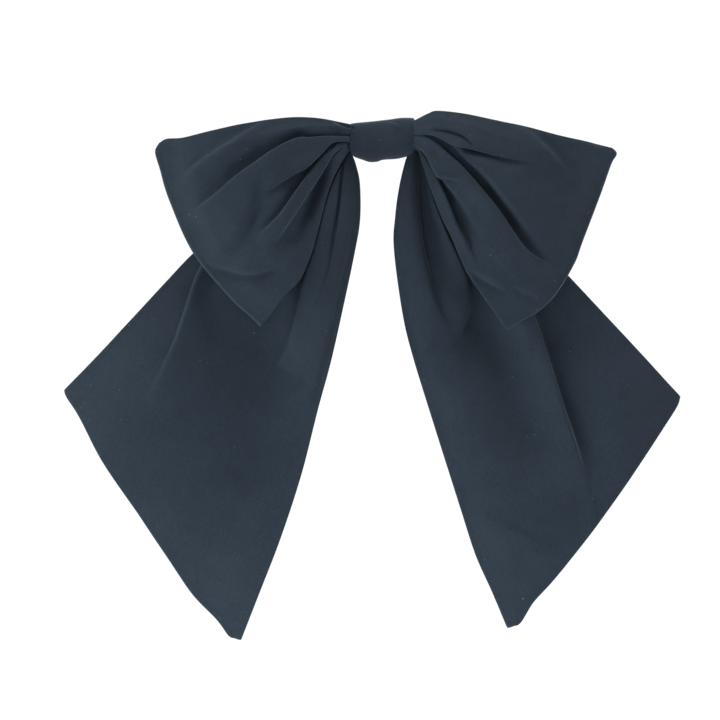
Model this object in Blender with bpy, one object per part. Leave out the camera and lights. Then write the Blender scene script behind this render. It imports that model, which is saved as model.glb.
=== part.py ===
"""A large fabric hair bow on a French barrette.

Two looped sashes and two hanging tails are gathered into a knot. The knot is
wrapped in a band, and thread lashes it to the plate of a spring clip.

Frame: metres, +X to the viewer's right, +Z up, and the bow faces -Y. The origin
is the middle of the gap in which the clip holds the hair, and +Y points into
the head. Run it with: blender --background --python part.py
"""

import math

import bmesh
import bpy
import numpy as np
from mathutils import Matrix

MM = 0.001
GAP = 0.3 * MM  # between pieces that touch

# --- clip, from the head outwards ---
CLIP_HALF_WIDTH = 4.5 * MM
HAIR_HALF_GAP = 2.4 * MM
ARM_THICKNESS = 1.0 * MM
ARM_RIB = 0.25 * MM
ARM_RIB_HALF_LENGTH = 27.0 * MM
ARM_RIB_RAMP = 1.5 * MM
# Half width of the arm in millimetres, as (x, half width): finger tab, eye, then the rest.
ARM_WIDTHS = [
    (-46.0, 1.2),
    (-45.6, 2.1),
    (-44.8, 2.6),
    (-43.4, 2.8),
    (-42.6, 4.6),
    (-34.4, 4.6),
    (-33.0, 3.2),
]
PIN_X = 39.5 * MM
PIN_Y = 1.9 * MM
PIN_RADIUS = 0.7 * MM
PIN_CLEARANCE = 0.08 * MM
PIN_HEAD = 0.4 * MM  # how far each head stands out from the ear
PIN_HEAD_RADIUS = 1.15 * MM
PIN_TIP_RADIUS = 0.8 * MM
KNUCKLE_RADIUS = 1.5 * MM
KNUCKLE_HALF_WIDTH = 3.6 * MM
EAR_RADIUS = 2.1 * MM
SHEET = 0.6 * MM  # thickness of the stamped bracket and catch
BASE_INNER_X = 29.5 * MM
BASE_END_INSET = 0.5 * MM
TONGUE_LENGTH = 5.0 * MM
NOTCH_HALF_LENGTH = 4.0 * MM
NOTCH_HALF_DEPTH = 3.0 * MM
NOTCH_CORNER = 0.3 * MM
NOTCH_X = 31.1 * MM  # middle of the notches beside the tongue
BAR_THICKNESS = 0.45 * MM
BAR_HALF_LENGTH = 32.5 * MM
BAR_HALF_WIDTH = 2.6 * MM
BAR_ARCH = 0.35 * MM
BAR_TRAVEL_ROOM = 3.35 * MM  # from the bar's front face to the plate
PLATE_THICKNESS = 0.8 * MM
PLATE_HALF_LENGTH = 42.5 * MM
PLATE_ARC_HALF = 34.0 * MM
PLATE_ARC_RADIUS = 300.0 * MM
RIVET_X = 37.6 * MM
RIVET_RADIUS = 0.9 * MM
RIVET_HEAD_RADIUS = 1.7 * MM
RIVET_DOME = 0.6 * MM
RIVET_UPSET = 0.25 * MM
CATCH_X = -38.5 * MM  # middle of the catch, over its rivet
TAB_LENGTH = 5.0 * MM
TAB_THICKNESS = 0.5 * MM
TAB_Z = 2.5 * MM
TAB_TOP_Y = 6.4 * MM
TAB_FOOT_RADIUS = 0.5 * MM
BARB_REACH = 0.6 * MM  # how far each jaw's barb hooks over the eye's rim
BARB_LIP = 0.5 * MM
BARB_HEIGHT = 1.3 * MM
BARB_SLOPE = 0.15 * MM
EYE_HALF_LENGTH = 3.0 * MM
EYE_HALF_WIDTH = 3.5 * MM
EYE_CORNER = 0.8 * MM
CUTTER_REACH = 8.0 * MM  # long enough to cut right through any clip part

# --- knot ---
FELT_THICKNESS = 1.2 * MM
FELT_HALF_LENGTH = 15.0 * MM
FELT_HALF_HEIGHT = 4.2 * MM
LASHING_ROOM = 1.3 * MM  # between felt and band, where the lashing thread runs
LASHING_RADIUS = 0.3 * MM
LASHING_TURNS = 3
LASHING_PITCH = 0.75 * MM
LASHING_X = 8.0 * MM
BAND_HALF_LENGTH = 13.2 * MM
BAND_HALF_HEIGHT = 8.2 * MM
BAND_DEPTH = 14.6 * MM
BAND_WALL = 1.8 * MM
BAND_CROWN = 0.7 * MM  # how much taller the band is in its middle
BAND_TILT = math.radians(3.0)
CORE_HALF_LENGTH = 12.4 * MM
CORE_POWER = 2.4  # 2 is an ellipse, and more is boxier
CORE_WAIST = 0.7  # size of the core under the thread, as a share of its ends
THREAD_RADIUS = 0.4 * MM
THREAD_TURNS = 5
THREAD_PITCH = 0.95 * MM
STITCH_RADIUS = 0.22 * MM
STITCH_COUNT = 9
STITCH_PITCH = 2.3 * MM
STITCH_Z = (5.6 * MM, 6.9 * MM)

# --- sashes ---
LOOP_WALL = 1.2 * MM
LOOP_ROOT_X = 16.6 * MM
LOOP_ROOT_RADIUS = 3.0 * MM
LOOP_BACK_Y = -16.6 * MM
LOOP_PUFF = 19.0 * MM  # depth of a loop at its fullest
LOOP_TURN_SHARE = 0.1  # share of a loop's length taken by its outer turn
TAIL_ROOT_RADIUS = 3.2 * MM
TAIL_ROOT_Y = -12.9 * MM
TAIL_ROOT_Z = -6.5 * MM
TAIL_HALF_THICKNESS = 0.7 * MM
TAIL_THINNING = 16.0 * MM  # height over which the bundle at the root thins out
TAIL_WAVE = 1.3 * MM
TAIL_WAVES = 1.25  # waves across a tail
TAIL_WAVE_START = 0.25  # share of the length where the waves reach full depth

# Each sash's edges in millimetres, as (x, z). Root points come first.
LEFT_LOOP = {
    "top": [(-16.6, 6.2), (-43, 8.8), (-72, 3.0), (-91.5, -2.5)],
    "outer": [(-91.5, -2.5), (-84, -30), (-70, -54.5), (-49.5, -75)],
    "bottom": [(-16.6, -3), (-24, -27), (-34, -54), (-49.5, -75)],
}
RIGHT_LOOP = {
    "top": [(16.6, 7.5), (24, 12.0), (58, 5.5), (95, -4)],
    "outer": [(95, -4), (87, -28), (72, -60), (51, -76)],
    "bottom": [(16.6, -3), (24, -27), (35, -54), (51, -76)],
}
LEFT_TAIL = {
    "inner": [(-13.6, -6.5), (-13.4, -13), (-10.5, -36), (-17, -72), (-33, -135), (-58, -202.5)],
    "outer": [(-22, -6.5), (-50, -23), (-87, -57), (-129, -102.5)],
    "end": [(-58, -202.5), (-84, -170), (-109, -137), (-129, -102.5)],
}
RIGHT_TAIL = {
    "inner": [(13.6, -6.5), (13.2, -13), (6.5, -40), (10, -76), (27, -133), (51.5, -197.5)],
    "outer": [(22, -6.5), (50, -26), (84, -64), (121, -104.5)],
    "end": [(51.5, -197.5), (81, -165), (104, -133), (121, -104.5)],
}

ARM_FRONT_Y = HAIR_HALF_GAP
BAR_REAR_Y = -HAIR_HALF_GAP
BAR_FRONT_Y = BAR_REAR_Y - BAR_THICKNESS
PLATE_REAR_Y = BAR_FRONT_Y - BAR_TRAVEL_ROOM
PAD_REAR_Y = PLATE_REAR_Y + PLATE_ARC_HALF**2 / (2 * PLATE_ARC_RADIUS)
PLATE_FRONT_Y = PLATE_REAR_Y - PLATE_THICKNESS
FELT_REAR_Y = PLATE_FRONT_Y - GAP
FELT_FRONT_Y = FELT_REAR_Y - FELT_THICKNESS
BAND_REAR_Y = FELT_FRONT_Y - LASHING_ROOM
BAND_Y = BAND_REAR_Y - BAND_DEPTH / 2
BASE_FRONT_Y = PAD_REAR_Y + GAP
BASE_REAR_Y = BASE_FRONT_Y + SHEET
TONGUE_FRONT_Y = -2.2 * MM
TAB_FOOT_Y = BASE_REAR_Y + GAP + TAB_FOOT_RADIUS
LOOP_AXIS_Y = LOOP_BACK_Y - LOOP_ROOT_RADIUS


def clear_scene():
    for item in list(bpy.data.objects):
        bpy.data.objects.remove(item, do_unlink=True)


def material(name, colour, roughness, metallic):
    made = bpy.data.materials.new(name)
    made.use_nodes = True
    shader = made.node_tree.nodes["Principled BSDF"]
    shader.inputs["Base Color"].default_value = (*colour, 1.0)
    shader.inputs["Roughness"].default_value = roughness
    shader.inputs["Metallic"].default_value = metallic
    made.diffuse_color = (*colour, 1.0)
    return made


def move_origin(item, origin):
    """Puts the object's origin at a point and leaves its shape where it is."""
    item.data.transform(Matrix.Translation([-c for c in origin]))
    item.location = origin


def add_object(name, mesh, finish, origin=(0, 0, 0)):
    """Links a mesh whose points are in the frame as an object with its own origin."""
    mesh.materials.append(finish)
    made = bpy.data.objects.new(name, mesh)
    bpy.context.collection.objects.link(made)
    move_origin(made, origin)
    return made


def mesh_from(bm, name, smooth_angle=None):
    bmesh.ops.recalc_face_normals(bm, faces=bm.faces[:])
    mesh = bpy.data.meshes.new(name)
    bm.to_mesh(mesh)
    bm.free()
    if smooth_angle is not None:
        mesh.shade_smooth()
        mesh.set_sharp_from_angle(angle=math.radians(smooth_angle))
    return mesh


def loft(rings, name, smooth_angle=40):
    """Closed body through rings of equal length, with a flat cap on each end ring."""
    bm = bmesh.new()
    rows = [[bm.verts.new(point) for point in ring] for ring in rings]
    count = len(rows[0])
    for low, high in zip(rows, rows[1:]):
        for i in range(count):
            j = (i + 1) % count
            bm.faces.new((low[i], low[j], high[j], high[i]))
    bm.faces.new(rows[0])
    bm.faces.new(rows[-1])
    return mesh_from(bm, name, smooth_angle)


def extruded(outline, low, high, axis, name, smooth_angle=40):
    """Body with a flat outline, extruded from low to high along axis "x", "y" or "z"."""
    place = {
        "x": lambda a, b, c: (c, a, b),
        "y": lambda a, b, c: (a, c, b),
        "z": lambda a, b, c: (a, b, c),
    }[axis]
    rings = [[place(a, b, c) for a, b in outline] for c in (low, high)]
    return loft(rings, name, smooth_angle)


def turned(profile, centre, axis, name, segments=32):
    """Closed body of revolution about axis "y" or "z", from (along, radius) points."""
    rings = []
    for along, radius in profile:
        ring = []
        for k in range(segments):
            angle = 2 * math.pi * k / segments
            u, v = radius * math.cos(angle), radius * math.sin(angle)
            offset = (u, along, v) if axis == "y" else (u, v, along)
            ring.append(tuple(np.array(centre) + offset))
        rings.append(ring)
    return loft(rings, name)


def arc(centre, radius, start, end, count):
    """Points along an arc, with angles in degrees."""
    angles = np.radians(np.linspace(start, end, count))
    return [(centre[0] + radius * math.cos(a), centre[1] + radius * math.sin(a)) for a in angles]


def rounded_box(half_a, half_b, radius, centre=(0, 0), count=5):
    """Outline of a rectangle with round corners."""
    outline = []
    for sign_a, sign_b, start in ((1, 1, 0), (-1, 1, 90), (-1, -1, 180), (1, -1, 270)):
        corner = (
            centre[0] + sign_a * (half_a - radius),
            centre[1] + sign_b * (half_b - radius),
        )
        outline += arc(corner, radius, start, start + 90, count)
    return outline


def smooth_path(points, count):
    """Evenly spaced points on a smooth curve through a few points, of 2 or 3 numbers."""
    points = np.array(points, float)
    ends = [2 * points[0] - points[1]], [2 * points[-1] - points[-2]]
    knots = np.concatenate([ends[0], points, ends[1]])
    fine = []
    for i in range(1, len(knots) - 2):
        p0, p1, p2, p3 = knots[i - 1 : i + 3]
        for t in np.linspace(0, 1, 24, endpoint=False):
            fine.append(
                0.5
                * (
                    2 * p1
                    + (p2 - p0) * t
                    + (2 * p0 - 5 * p1 + 4 * p2 - p3) * t**2
                    + (3 * p1 - p0 - 3 * p2 + p3) * t**3
                )
            )
    fine = np.array(fine + [points[-1]])
    along = np.r_[0, np.cumsum(np.linalg.norm(np.diff(fine, axis=0), axis=1))]
    wanted = np.linspace(0, along[-1], count)
    return np.stack([np.interp(wanted, along, fine[:, k]) for k in range(fine.shape[1])], 1)


def boolean(target, other_mesh, operation):
    """Applies an exact Boolean of other_mesh to the object and drops the cutter."""
    other = bpy.data.objects.new("cutter", other_mesh)
    bpy.context.collection.objects.link(other)
    other.location = (0, 0, 0)
    step = target.modifiers.new("boolean", "BOOLEAN")
    step.operation = operation
    step.solver = "EXACT"
    step.object = other
    bpy.context.view_layer.update()
    graph = bpy.context.evaluated_depsgraph_get()
    result = bpy.data.meshes.new_from_object(target.evaluated_get(graph))
    target.modifiers.remove(step)
    target.data = result
    bpy.data.objects.remove(other, do_unlink=True)


def cylinder_cutter(centre, radius, axis, half_length):
    return turned([(-half_length, radius), (half_length, radius)], centre, axis, "cutter")


def tube(name, points, radius, finish, sides=3):
    """Thread: a bevelled curve with filled caps along the points."""
    curve = bpy.data.curves.new(name, "CURVE")
    curve.dimensions = "3D"
    curve.bevel_depth = radius
    curve.bevel_resolution = sides - 1
    curve.use_fill_caps = True
    curve.render_resolution_u = 0
    spline = curve.splines.new("POLY")
    spline.points.add(len(points) - 1)
    for point, place in zip(spline.points, points):
        point.co = (*[float(c) for c in place], 1)
    curve.materials.append(finish)
    made = bpy.data.objects.new(name, curve)
    bpy.context.collection.objects.link(made)
    return made


# --- clip ---


def strip_rings(stations, half_width, front, rear):
    """Rectangular rings of a flat strip along X, from functions of x."""
    return [
        [
            (x, front(x), -half_width(x)),
            (x, front(x), half_width(x)),
            (x, rear(x), half_width(x)),
            (x, rear(x), -half_width(x)),
        ]
        for x in stations
    ]


def round_ended(half_width, low, high, corner):
    """Half width of a strip whose corners are rounded off at both ends."""

    def width(x):
        inset = min(x - low, high - x, corner)
        drop = corner - math.sqrt(max(corner**2 - (corner - inset) ** 2, 0))
        return half_width - drop

    return width


def end_stations(low, high, corner, middle):
    """Stations along a strip, close together where its corners are round."""
    steps = corner * (1 - np.cos(np.linspace(0, math.pi / 2, 6)))
    return [*(low + steps), *middle, *(high - steps[::-1])]


def plate_arc(x):
    """How far the plate at x lies behind its middle."""
    return min(abs(x), PLATE_ARC_HALF) ** 2 / (2 * PLATE_ARC_RADIUS)


def clip_plate(finish):
    corner = 3.5 * MM
    ends = (-PLATE_HALF_LENGTH, PLATE_HALF_LENGTH)
    middle = np.linspace(-PLATE_ARC_HALF, PLATE_ARC_HALF, 25)
    rings = strip_rings(
        end_stations(*ends, corner, middle),
        round_ended(CLIP_HALF_WIDTH, *ends, corner),
        lambda x: PLATE_FRONT_Y + plate_arc(x),
        lambda x: PLATE_REAR_Y + plate_arc(x),
    )
    made = add_object("clip_plate", loft(rings, "clip_plate"), finish)
    for x in (RIVET_X, CATCH_X):
        hole = cylinder_cutter((x, PAD_REAR_Y, 0), RIVET_RADIUS + PIN_CLEARANCE, "y", 3 * MM)
        boolean(made, hole, "DIFFERENCE")
    return made


def base_profile(inner_x, outer_x):
    """Side view of a bracket's base and the raised tongue over the tension bar's end."""
    sign = 1 if outer_x > 0 else -1
    step = inner_x + sign * TONGUE_LENGTH
    tongue_rear = TONGUE_FRONT_Y + SHEET
    return [
        (inner_x, TONGUE_FRONT_Y),
        (step - sign * SHEET, TONGUE_FRONT_Y),
        (step, BASE_FRONT_Y),
        (outer_x, BASE_FRONT_Y),
        (outer_x, BASE_REAR_Y),
        (step + sign * 0.8 * SHEET, BASE_REAR_Y),
        (step, tongue_rear),
        (inner_x, tongue_rear),
    ]


def rivet(name, x, finish):
    """Shank through plate and base, with a domed head on each side."""
    front = PAD_REAR_Y - PLATE_THICKNESS - GAP
    rear = BASE_REAR_Y + GAP
    profile = [
        (front - RIVET_DOME, 0.5 * RIVET_HEAD_RADIUS),
        (front - 0.6 * RIVET_DOME, 0.9 * RIVET_HEAD_RADIUS),
        (front, RIVET_HEAD_RADIUS),
        (front, RIVET_RADIUS),
        (rear, RIVET_RADIUS),
        (rear, 0.8 * RIVET_HEAD_RADIUS),
        (rear + RIVET_UPSET, 0.7 * RIVET_HEAD_RADIUS),
    ]
    return add_object(name, turned(profile, (x, 0, 0), "y", name, 20), finish)


def riveted_base(name, end, rivet_x, finish):
    """Base of a clip end (1 for +X, -1 for -X), notched so that its tongue is narrower."""
    profile = base_profile(end * BASE_INNER_X, end * (PLATE_HALF_LENGTH - BASE_END_INSET))
    body = extruded(profile, -CLIP_HALF_WIDTH, CLIP_HALF_WIDTH, "z", name)
    made = add_object(name, body, finish)
    middle = (end * NOTCH_X, TONGUE_FRONT_Y)
    for side in (-1, 1):
        low, high = sorted((side * BAR_HALF_WIDTH, side * CUTTER_REACH))
        notch = rounded_box(NOTCH_HALF_LENGTH, NOTCH_HALF_DEPTH, NOTCH_CORNER, middle)
        boolean(made, extruded(notch, low, high, "z", "notch"), "DIFFERENCE")
    hole = (rivet_x, PAD_REAR_Y, 0)
    boolean(made, cylinder_cutter(hole, RIVET_RADIUS + PIN_CLEARANCE, "y", 2 * MM), "DIFFERENCE")
    return made


def hinge_bracket(finish):
    made = riveted_base("hinge_bracket", 1, RIVET_X, finish)
    for side in (-1, 1):
        ear = [
            (PIN_X - EAR_RADIUS, BASE_FRONT_Y),
            *arc((PIN_X, PIN_Y), EAR_RADIUS, 180, 0, 13),
            (PIN_X + EAR_RADIUS, BASE_FRONT_Y),
        ]
        low, high = sorted((side * (CLIP_HALF_WIDTH - SHEET), side * CLIP_HALF_WIDTH))
        boolean(made, extruded(ear, low, high, "z", "ear"), "UNION")
    pin_hole = (PIN_X, PIN_Y, 0)
    boolean(made, cylinder_cutter(pin_hole, PIN_RADIUS + PIN_CLEARANCE, "z", CUTTER_REACH), "DIFFERENCE")
    return made


def hinge_pin(finish):
    end = CLIP_HALF_WIDTH + GAP
    profile = [
        (-end - PIN_HEAD, PIN_TIP_RADIUS),
        (-end - 0.5 * PIN_HEAD, PIN_HEAD_RADIUS),
        (-end, PIN_HEAD_RADIUS),
        (-end, PIN_RADIUS),
        (end, PIN_RADIUS),
        (end, PIN_HEAD_RADIUS),
        (end + 0.5 * PIN_HEAD, PIN_HEAD_RADIUS),
        (end + PIN_HEAD, PIN_TIP_RADIUS),
    ]
    return add_object("hinge_pin", turned(profile, (PIN_X, PIN_Y, 0), "z", "hinge_pin"), finish)


def arm_half_width(x):
    """The arm widens round its eye and narrows to a finger tab at the tip."""
    stations, half_widths = np.array(ARM_WIDTHS).T * MM
    return float(np.interp(x, stations, half_widths))


def arm_rear(x):
    """Rear face of the arm: a raised stiffening rib runs along its middle."""
    rise = (ARM_RIB_HALF_LENGTH - abs(x)) / ARM_RIB_RAMP + 1
    return ARM_FRONT_Y + ARM_THICKNESS + ARM_RIB * min(max(rise, 0), 1)


def clasp_arm(finish):
    rib = ARM_RIB_HALF_LENGTH
    stations = [
        *(x * MM for x, _ in ARM_WIDTHS),
        -rib - ARM_RIB_RAMP,
        -rib,
        rib,
        rib + ARM_RIB_RAMP,
        PIN_X - 0.5 * MM,
    ]
    rings = strip_rings(stations, arm_half_width, lambda x: ARM_FRONT_Y, arm_rear)
    made = add_object("clasp_arm", loft(rings, "clasp_arm"), finish)
    knuckle_profile = [(-KNUCKLE_HALF_WIDTH, KNUCKLE_RADIUS), (KNUCKLE_HALF_WIDTH, KNUCKLE_RADIUS)]
    centre = (PIN_X, PIN_Y, 0)
    boolean(made, turned(knuckle_profile, centre, "z", "knuckle"), "UNION")
    boolean(made, cylinder_cutter(centre, PIN_RADIUS + PIN_CLEARANCE, "z", CUTTER_REACH), "DIFFERENCE")
    eye = rounded_box(EYE_HALF_LENGTH, EYE_HALF_WIDTH, EYE_CORNER, (CATCH_X, 0))
    boolean(made, extruded(eye, 0, CUTTER_REACH, "y", "eye"), "DIFFERENCE")
    move_origin(made, centre)
    return made


def tension_bar(finish):
    corner = 2.0 * MM
    ends = (-BAR_HALF_LENGTH, BAR_HALF_LENGTH)
    middle = np.linspace(-BAR_HALF_LENGTH + 2.5 * MM, BAR_HALF_LENGTH - 2.5 * MM, 19)

    def arch(x):
        return BAR_ARCH * (x / BAR_HALF_LENGTH) ** 2

    rings = strip_rings(
        end_stations(*ends, corner, middle),
        round_ended(BAR_HALF_WIDTH, *ends, corner),
        lambda x: BAR_FRONT_Y - arch(x),
        lambda x: BAR_REAR_Y - arch(x),
    )
    return add_object("tension_bar", loft(rings, "tension_bar"), finish)


def catch_tab(name, side, finish):
    """Sprung jaw: a round foot, a wall through the arm's eye and a barb that hooks its rim."""
    inner = TAB_Z - TAB_THICKNESS / 2
    outer = TAB_Z + TAB_THICKNESS / 2
    barb_low = ARM_FRONT_Y + ARM_THICKNESS + GAP
    barb_tip = EYE_HALF_WIDTH + BARB_REACH
    foot = arc((TAB_FOOT_Y, TAB_Z), TAB_FOOT_RADIUS, 45, 315, 10)
    outline = [
        (barb_low, outer),
        *foot,
        (TAB_TOP_Y, inner),
        (TAB_TOP_Y, outer),
        (barb_low + BARB_HEIGHT, outer + BARB_SLOPE),
        (barb_low + BARB_LIP, barb_tip),
        (barb_low, barb_tip),
    ]
    placed = [(y, side * z) for y, z in outline]
    low, high = CATCH_X - TAB_LENGTH / 2, CATCH_X + TAB_LENGTH / 2
    body = extruded(placed, low, high, "x", name)
    return add_object(name, body, finish, (CATCH_X, TAB_FOOT_Y, side * TAB_Z))


# --- knot ---


def oval_point(x, angle, half_depth, half_height, power):
    """Point on a rounded rectangle across X, centred in the tilted band, at station x."""
    c, s = math.cos(angle), math.sin(angle)
    y = half_depth * math.copysign(abs(c) ** (2 / power), c)
    z = half_height * math.copysign(abs(s) ** (2 / power), s)
    return (x, BAND_Y + y, z + math.tan(BAND_TILT) * x)


def oval_ring(x, half_depth, half_height, power=3.0, count=28):
    angles = 2 * math.pi * np.arange(count) / count
    return [oval_point(x, angle, half_depth, half_height, power) for angle in angles]


def knot_band(finish):
    """Folded sash wrapped round the gathers, a little fuller in its middle."""
    stations = np.linspace(-BAND_HALF_LENGTH, BAND_HALF_LENGTH, 9)
    half_depth = BAND_DEPTH / 2
    outer = [
        oval_ring(x, half_depth, BAND_HALF_HEIGHT - BAND_CROWN * (x / BAND_HALF_LENGTH) ** 4)
        for x in stations
    ]
    inner_height = BAND_HALF_HEIGHT - BAND_WALL - BAND_CROWN
    inner = [oval_ring(x, half_depth - BAND_WALL, inner_height) for x in stations[::-1]]
    bm = bmesh.new()
    rows = [[bm.verts.new(point) for point in ring] for ring in outer + inner]
    count = len(rows[0])
    for k, low in enumerate(rows):
        high = rows[(k + 1) % len(rows)]
        for i in range(count):
            j = (i + 1) % count
            bm.faces.new((low[i], low[j], high[j], high[i]))
    return add_object("knot_band", mesh_from(bm, "knot_band", 50), finish)


def core_half(x):
    """Half depth and half height of the gathered sashes at x."""
    waist = CORE_WAIST + (1 - CORE_WAIST) * min(abs(x) / (5.5 * MM), 1) ** 2
    depth = BAND_DEPTH / 2 - BAND_WALL - GAP
    height = BAND_HALF_HEIGHT - BAND_WALL - BAND_CROWN - GAP
    return waist * depth, waist * height


def sash_core(finish):
    """Middles of both sashes, gathered into one bundle."""
    stations = np.linspace(-CORE_HALF_LENGTH, CORE_HALF_LENGTH, 19)
    rings = [oval_ring(x, *core_half(x), CORE_POWER, 24) for x in stations]
    return add_object("sash_core", loft(rings, "sash_core", 60), finish)


def gathering_thread(finish):
    """Thread wound round the waist of the gathers."""
    per_turn = 20
    room = THREAD_RADIUS + GAP
    points = []
    for k in range(THREAD_TURNS * per_turn + 1):
        turn = k / per_turn
        x = THREAD_PITCH * (turn - THREAD_TURNS / 2)
        half_depth, half_height = core_half(abs(x) + THREAD_RADIUS)
        angle = 2 * math.pi * turn
        points.append(oval_point(x, angle, half_depth + room, half_height + room, CORE_POWER))
    return tube("gathering_thread", points, THREAD_RADIUS, finish)


def felt_pad(finish):
    outline = rounded_box(FELT_HALF_LENGTH, FELT_HALF_HEIGHT, 1.5 * MM)
    body = extruded(outline, FELT_FRONT_Y, FELT_REAR_Y, "y", "felt_pad")
    return add_object("felt_pad", body, finish)


def plate_lashing(name, x, finish):
    """Turns of thread round the felt and the plate, which hold the clip to the knot."""
    room = GAP + LASHING_RADIUS
    front = FELT_FRONT_Y - room
    rear = PLATE_REAR_Y + plate_arc(abs(x) + 2 * MM) + room
    half_y = (rear - front) / 2
    middle = (rear + front) / 2
    half_z = CLIP_HALF_WIDTH + room
    turn = rounded_box(half_y, half_z, 1.2 * MM, (middle, 0), 4)
    count = len(turn)
    points = []
    for k in range(LASHING_TURNS * count + 1):
        y, z = turn[k % count]
        points.append((x + LASHING_PITCH * (k / count - LASHING_TURNS / 2), y, z))
    return tube(name, points, LASHING_RADIUS, finish)


def band_stitching(finish):
    """Whip stitch that closes the band's end, along its rear upper edge."""
    y = BAND_REAR_Y + GAP + STITCH_RADIUS
    low, high = STITCH_Z
    start = -STITCH_COUNT * STITCH_PITCH / 2
    corners = []
    for k in range(STITCH_COUNT):
        x = start + k * STITCH_PITCH
        corners += [(x, y, low), (x + 0.5 * STITCH_PITCH, y - 0.1 * MM, high)]
    return tube("band_stitching", smooth_path(corners, 6 * STITCH_COUNT), STITCH_RADIUS, finish)


# --- sashes ---


def patch(first, last, start, end, across, along):
    """Coons patch between four edges in millimetres, as an (across + 1, along + 1) grid.

    first and last run along the sash; start and end run across it.
    """
    a, b = smooth_path(first, along + 1), smooth_path(last, along + 1)
    c, d = smooth_path(start, across + 1), smooth_path(end, across + 1)
    u = np.linspace(0, 1, across + 1)[:, None, None]
    v = np.linspace(0, 1, along + 1)[None, :, None]
    ruled_along = (1 - u) * a[None] + u * b[None]
    ruled_across = (1 - v) * c[:, None] + v * d[:, None]
    corners = (1 - u) * ((1 - v) * a[0] + v * a[-1]) + u * ((1 - v) * b[0] + v * b[-1])
    return (ruled_along + ruled_across - corners) * MM


def loop_depth(v):
    """Depth of a loop at share v of its length: thin at the root, full beyond the middle."""
    root = 2 * LOOP_ROOT_RADIUS
    full = root + (LOOP_PUFF - root) * math.sin(math.pi * min(v, 0.97) ** 0.9) ** 0.8
    into_turn = max(v - (1 - LOOP_TURN_SHARE), 0) / LOOP_TURN_SHARE
    return full * math.sqrt(max(1 - into_turn**2, 0))


def sash_loop(name, edges, finish):
    """Sash that leaves the knot, turns at its outer fold and comes back behind: a tube
    that is open above and below, with its root rounded about the hinge axis."""
    across, along = 10, 20
    root = [edges["top"][0], edges["bottom"][0]]
    grid = patch(edges["top"], edges["bottom"], root, edges["outer"], across, along)
    side = math.copysign(1, edges["top"][0][0])
    shares = np.linspace(0, 1, along + 1)
    bm = bmesh.new()
    rows = []
    for u in range(across + 1):
        row = []
        for v in range(along + 1):
            x, z = grid[u, v]
            row.append((x, LOOP_BACK_Y - loop_depth(shares[v]), z))
        for v in range(along - 1, -1, -1):
            x, z = grid[u, v]
            row.append((x, LOOP_BACK_Y, z))
        x, z = grid[u, 0]
        for angle in np.radians([60, 30, 0, -30, -60]):
            reach = LOOP_ROOT_RADIUS * math.cos(angle)
            row.append((x - side * reach, LOOP_AXIS_Y + LOOP_ROOT_RADIUS * math.sin(angle), z))
        rows.append([bm.verts.new(point) for point in row])
    count = len(rows[0])
    for low, high in zip(rows, rows[1:]):
        for i in range(count):
            j = (i + 1) % count
            bm.faces.new((low[i], low[j], high[j], high[i]))
    mesh = mesh_from(bm, name, 60)
    made = add_object(name, mesh, finish, (side * LOOP_ROOT_X, LOOP_AXIS_Y, 0))
    wall = made.modifiers.new("wall", "SOLIDIFY")
    wall.thickness = LOOP_WALL
    wall.offset = -1
    wall.use_even_offset = True
    return made


def sash_tail(name, edges, finish):
    """Sash that hangs from the knot: a bundle at its root, fanning to a slanted end."""
    across, along = 14, 22
    root = [edges["inner"][0], edges["outer"][0]]
    grid = patch(edges["inner"], edges["outer"], root, edges["end"], across, along)
    shares = np.linspace(0, 1, along + 1)
    fronts, backs = [], []
    for v in range(along + 1):
        front, back = [], []
        for u in range(across + 1):
            x, z = grid[u, v]
            below = TAIL_ROOT_Z - z
            thin = min(max(below / TAIL_THINNING, 0), 1)
            half = TAIL_ROOT_RADIUS + (TAIL_HALF_THICKNESS - TAIL_ROOT_RADIUS) * thin**0.6
            fade = min(shares[v] / TAIL_WAVE_START, 1)
            y = TAIL_ROOT_Y + fade * TAIL_WAVE * math.sin(2 * math.pi * TAIL_WAVES * u / across)
            front.append((x, y - half, z))
            back.append((x, y + half, z))
        fronts.append(front)
        backs.append(back)
    cap = []
    for angle in np.radians([-60, -30, 0, 30, 60]):
        y = TAIL_ROOT_Y + TAIL_ROOT_RADIUS * math.sin(angle)
        z = TAIL_ROOT_Z + TAIL_ROOT_RADIUS * math.cos(angle)
        cap.append([(grid[u, 0][0], y, z) for u in range(across + 1)])
    # lengthwise strips, wound once round the tail: up the front, over the root, down the back
    wound = fronts[::-1] + cap + backs
    bm = bmesh.new()
    rows = [[bm.verts.new(point) for point in row] for row in wound]
    count = len(rows)
    for k in range(count):
        low, high = rows[k], rows[(k + 1) % count]
        for i in range(across):
            bm.faces.new((low[i], low[i + 1], high[i + 1], high[i]))
    for edge in (0, across):
        # the two long edges: rungs between front and back, then the round cap
        for v in range(along):
            a, b = along - v, along - v - 1
            c, d = along + 1 + len(cap) + v, along + 2 + len(cap) + v
            bm.faces.new((rows[a][edge], rows[b][edge], rows[d][edge], rows[c][edge]))
        bm.faces.new([rows[k][edge] for k in range(along, along + len(cap) + 2)])
    mesh = mesh_from(bm, name, 60)
    return add_object(name, mesh, finish, (0, TAIL_ROOT_Y, TAIL_ROOT_Z))


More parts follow.
